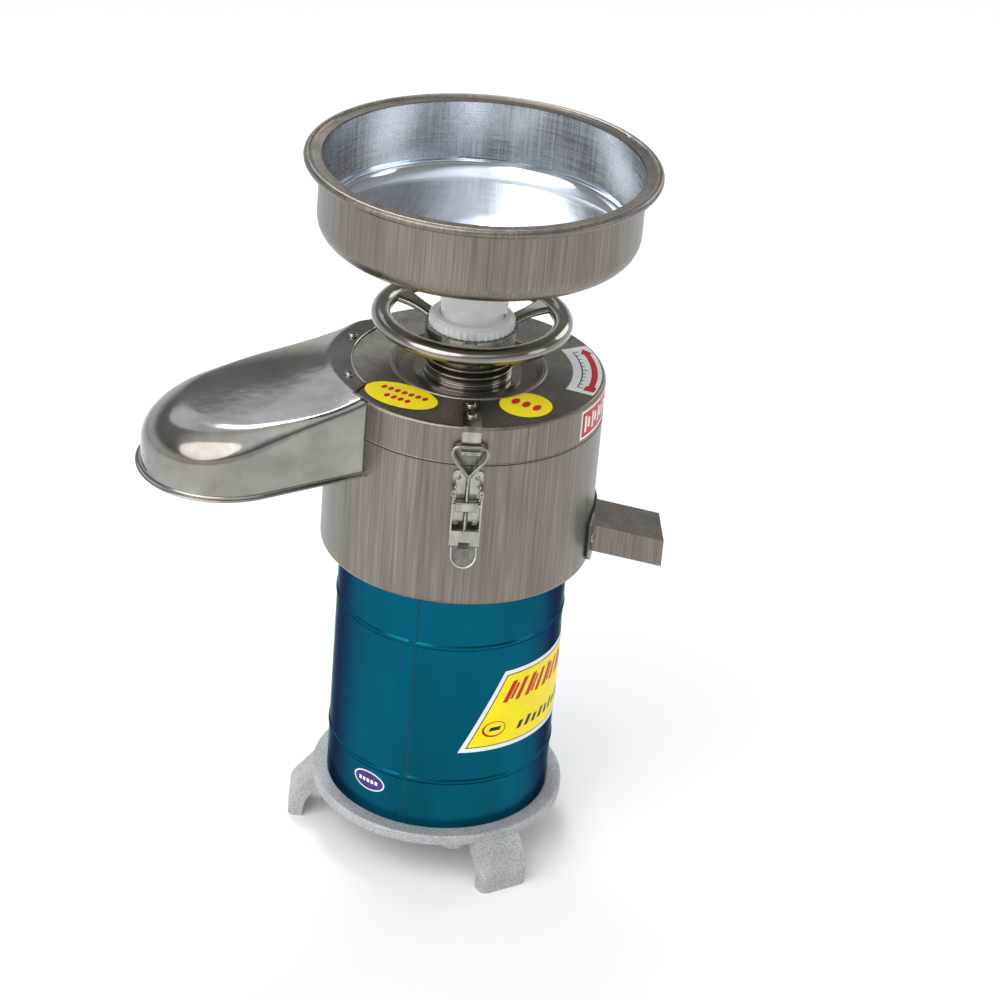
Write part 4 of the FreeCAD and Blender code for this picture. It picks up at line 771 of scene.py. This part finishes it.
def finger_rim(place, azimuth):
    """Rolled rim round the finger end of a lever, in pale steel as a painted highlight: straight down both
    sides, half a circle below.
    """
    bend, root = math.radians(22.0), np.array([121.4, 0.0, 335.0])
    wire, half, first, straight = 0.7, 9.7, 1.5, 8.0
    down, across = np.array([math.sin(bend), 0.0, -math.cos(bend)]), np.array([0.0, 1.0, 0.0])
    a = np.linspace(math.pi, 0, 28)
    width = np.concatenate([np.full(8, -half), half * np.cos(a), np.full(8, half)])
    sides = np.linspace(first, straight, 9)[:-1]
    depth = np.concatenate([sides, straight + half * np.sin(a), sides[::-1]])
    path = root + depth[:, None] * down + width[:, None] * across
    grid = turned_grid(tube(path, wire, np.cross(across, down), False, 10), azimuth)
    # Painted highlight: the pale mirror steel gives the rim its bright outline.
    piece = skin(f"{place}_finger_rim", grid, PAINTED_SHEEN_MIRROR_STEEL, f"{place}_lever", around_v=True)


def turned_skin(name, profile, material, body, sides=180):
    """Surface of revolution: each profile point (r, z) becomes (r cos a, r sin a, z)."""
    r, z = np.asarray(profile, dtype=float).T
    a = np.linspace(0, 2 * math.pi, sides, endpoint=False)
    return skin(name, round_grid(r[:, None], a, z), material, body, around_v=True)


def hopper_lining():
    """Inside skins of the hopper, 0.4 mm off the sheet: a mirror floor and a cross-brushed wall, both
    painted paler than the outside as painted light and painted reflection.

    The floor is a cone from the throat's edge to a corner arc, (w - c + c sin a, z0 - c cos a).
    """
    wall, corner, centre, wall_top = 126.4, 16.4, 561.2, 609.5
    throat, throat_lip = 22.0, 518.4
    slope = math.atan2(22.0, 88.2)
    a = np.linspace(slope, math.pi / 2, 20)
    arc = np.stack([wall - corner + corner * np.sin(a), centre - corner * np.cos(a)], axis=1)
    first = np.array([throat, arc[0, 1] - (arc[0, 0] - throat) * math.tan(slope)])
    cone = first + (arc[0] - first) * np.linspace(0, 1, 12)[:-1, None]
    profile = np.vstack([[throat, throat_lip], cone, arc])
    # Painted reflection: the floor's pale bluish steel stands in for the bright sky it mirrors.
    turned_skin("hopper_floor", profile, PAINTED_SHEEN_MIRROR_STEEL, "feed_hopper")
    profile = [(wall, z) for z in np.linspace(centre, wall_top, 12)]
    # Painted light: the wall's pale steel stands in for the light inside the hopper.
    turned_skin("hopper_wall", profile, painted_light_basin_steel(), "feed_hopper")


def sleeve_and_foot():
    """Nylon sleeve between the square collar and the nut, and the lid's rolled foot on the bowl."""
    sleeve, foot_z, sleeve_top, flare = 24.2, 479.6, 492.0, 1.6
    foot = [(sleeve + flare * (1 - math.sin(t)), foot_z + flare * (1 - math.cos(t)))
            for t in np.linspace(0, math.pi / 2, 6)]
    profile = foot + [(sleeve, sleeve_top)]
    piece = turned_skin("collar_sleeve", profile, MATERIALS["white_plastic"], "feed_hopper")
    roll_radius, roll_z, half = 110.9, 401.75, 0.75
    roll = [(roll_radius + half * math.cos(t), roll_z + half * math.sin(t))
            for t in np.linspace(-math.pi / 2, math.pi / 2, 9)]
    piece = turned_skin("lid_foot_roll", roll, MATERIALS["brushed_stainless"], "housing")


dress_nodes()
hopper_lining()
sleeve_and_foot()
casing_label()
oval_label()
yellow_lid_labels()
arc_label()
side_label()
casing_seam()
hood()
for place, azimuth in LATCH_AZIMUTHS.items():
    wire_hook(place, azimuth)
    finger_rim(place, azimuth)
studio()
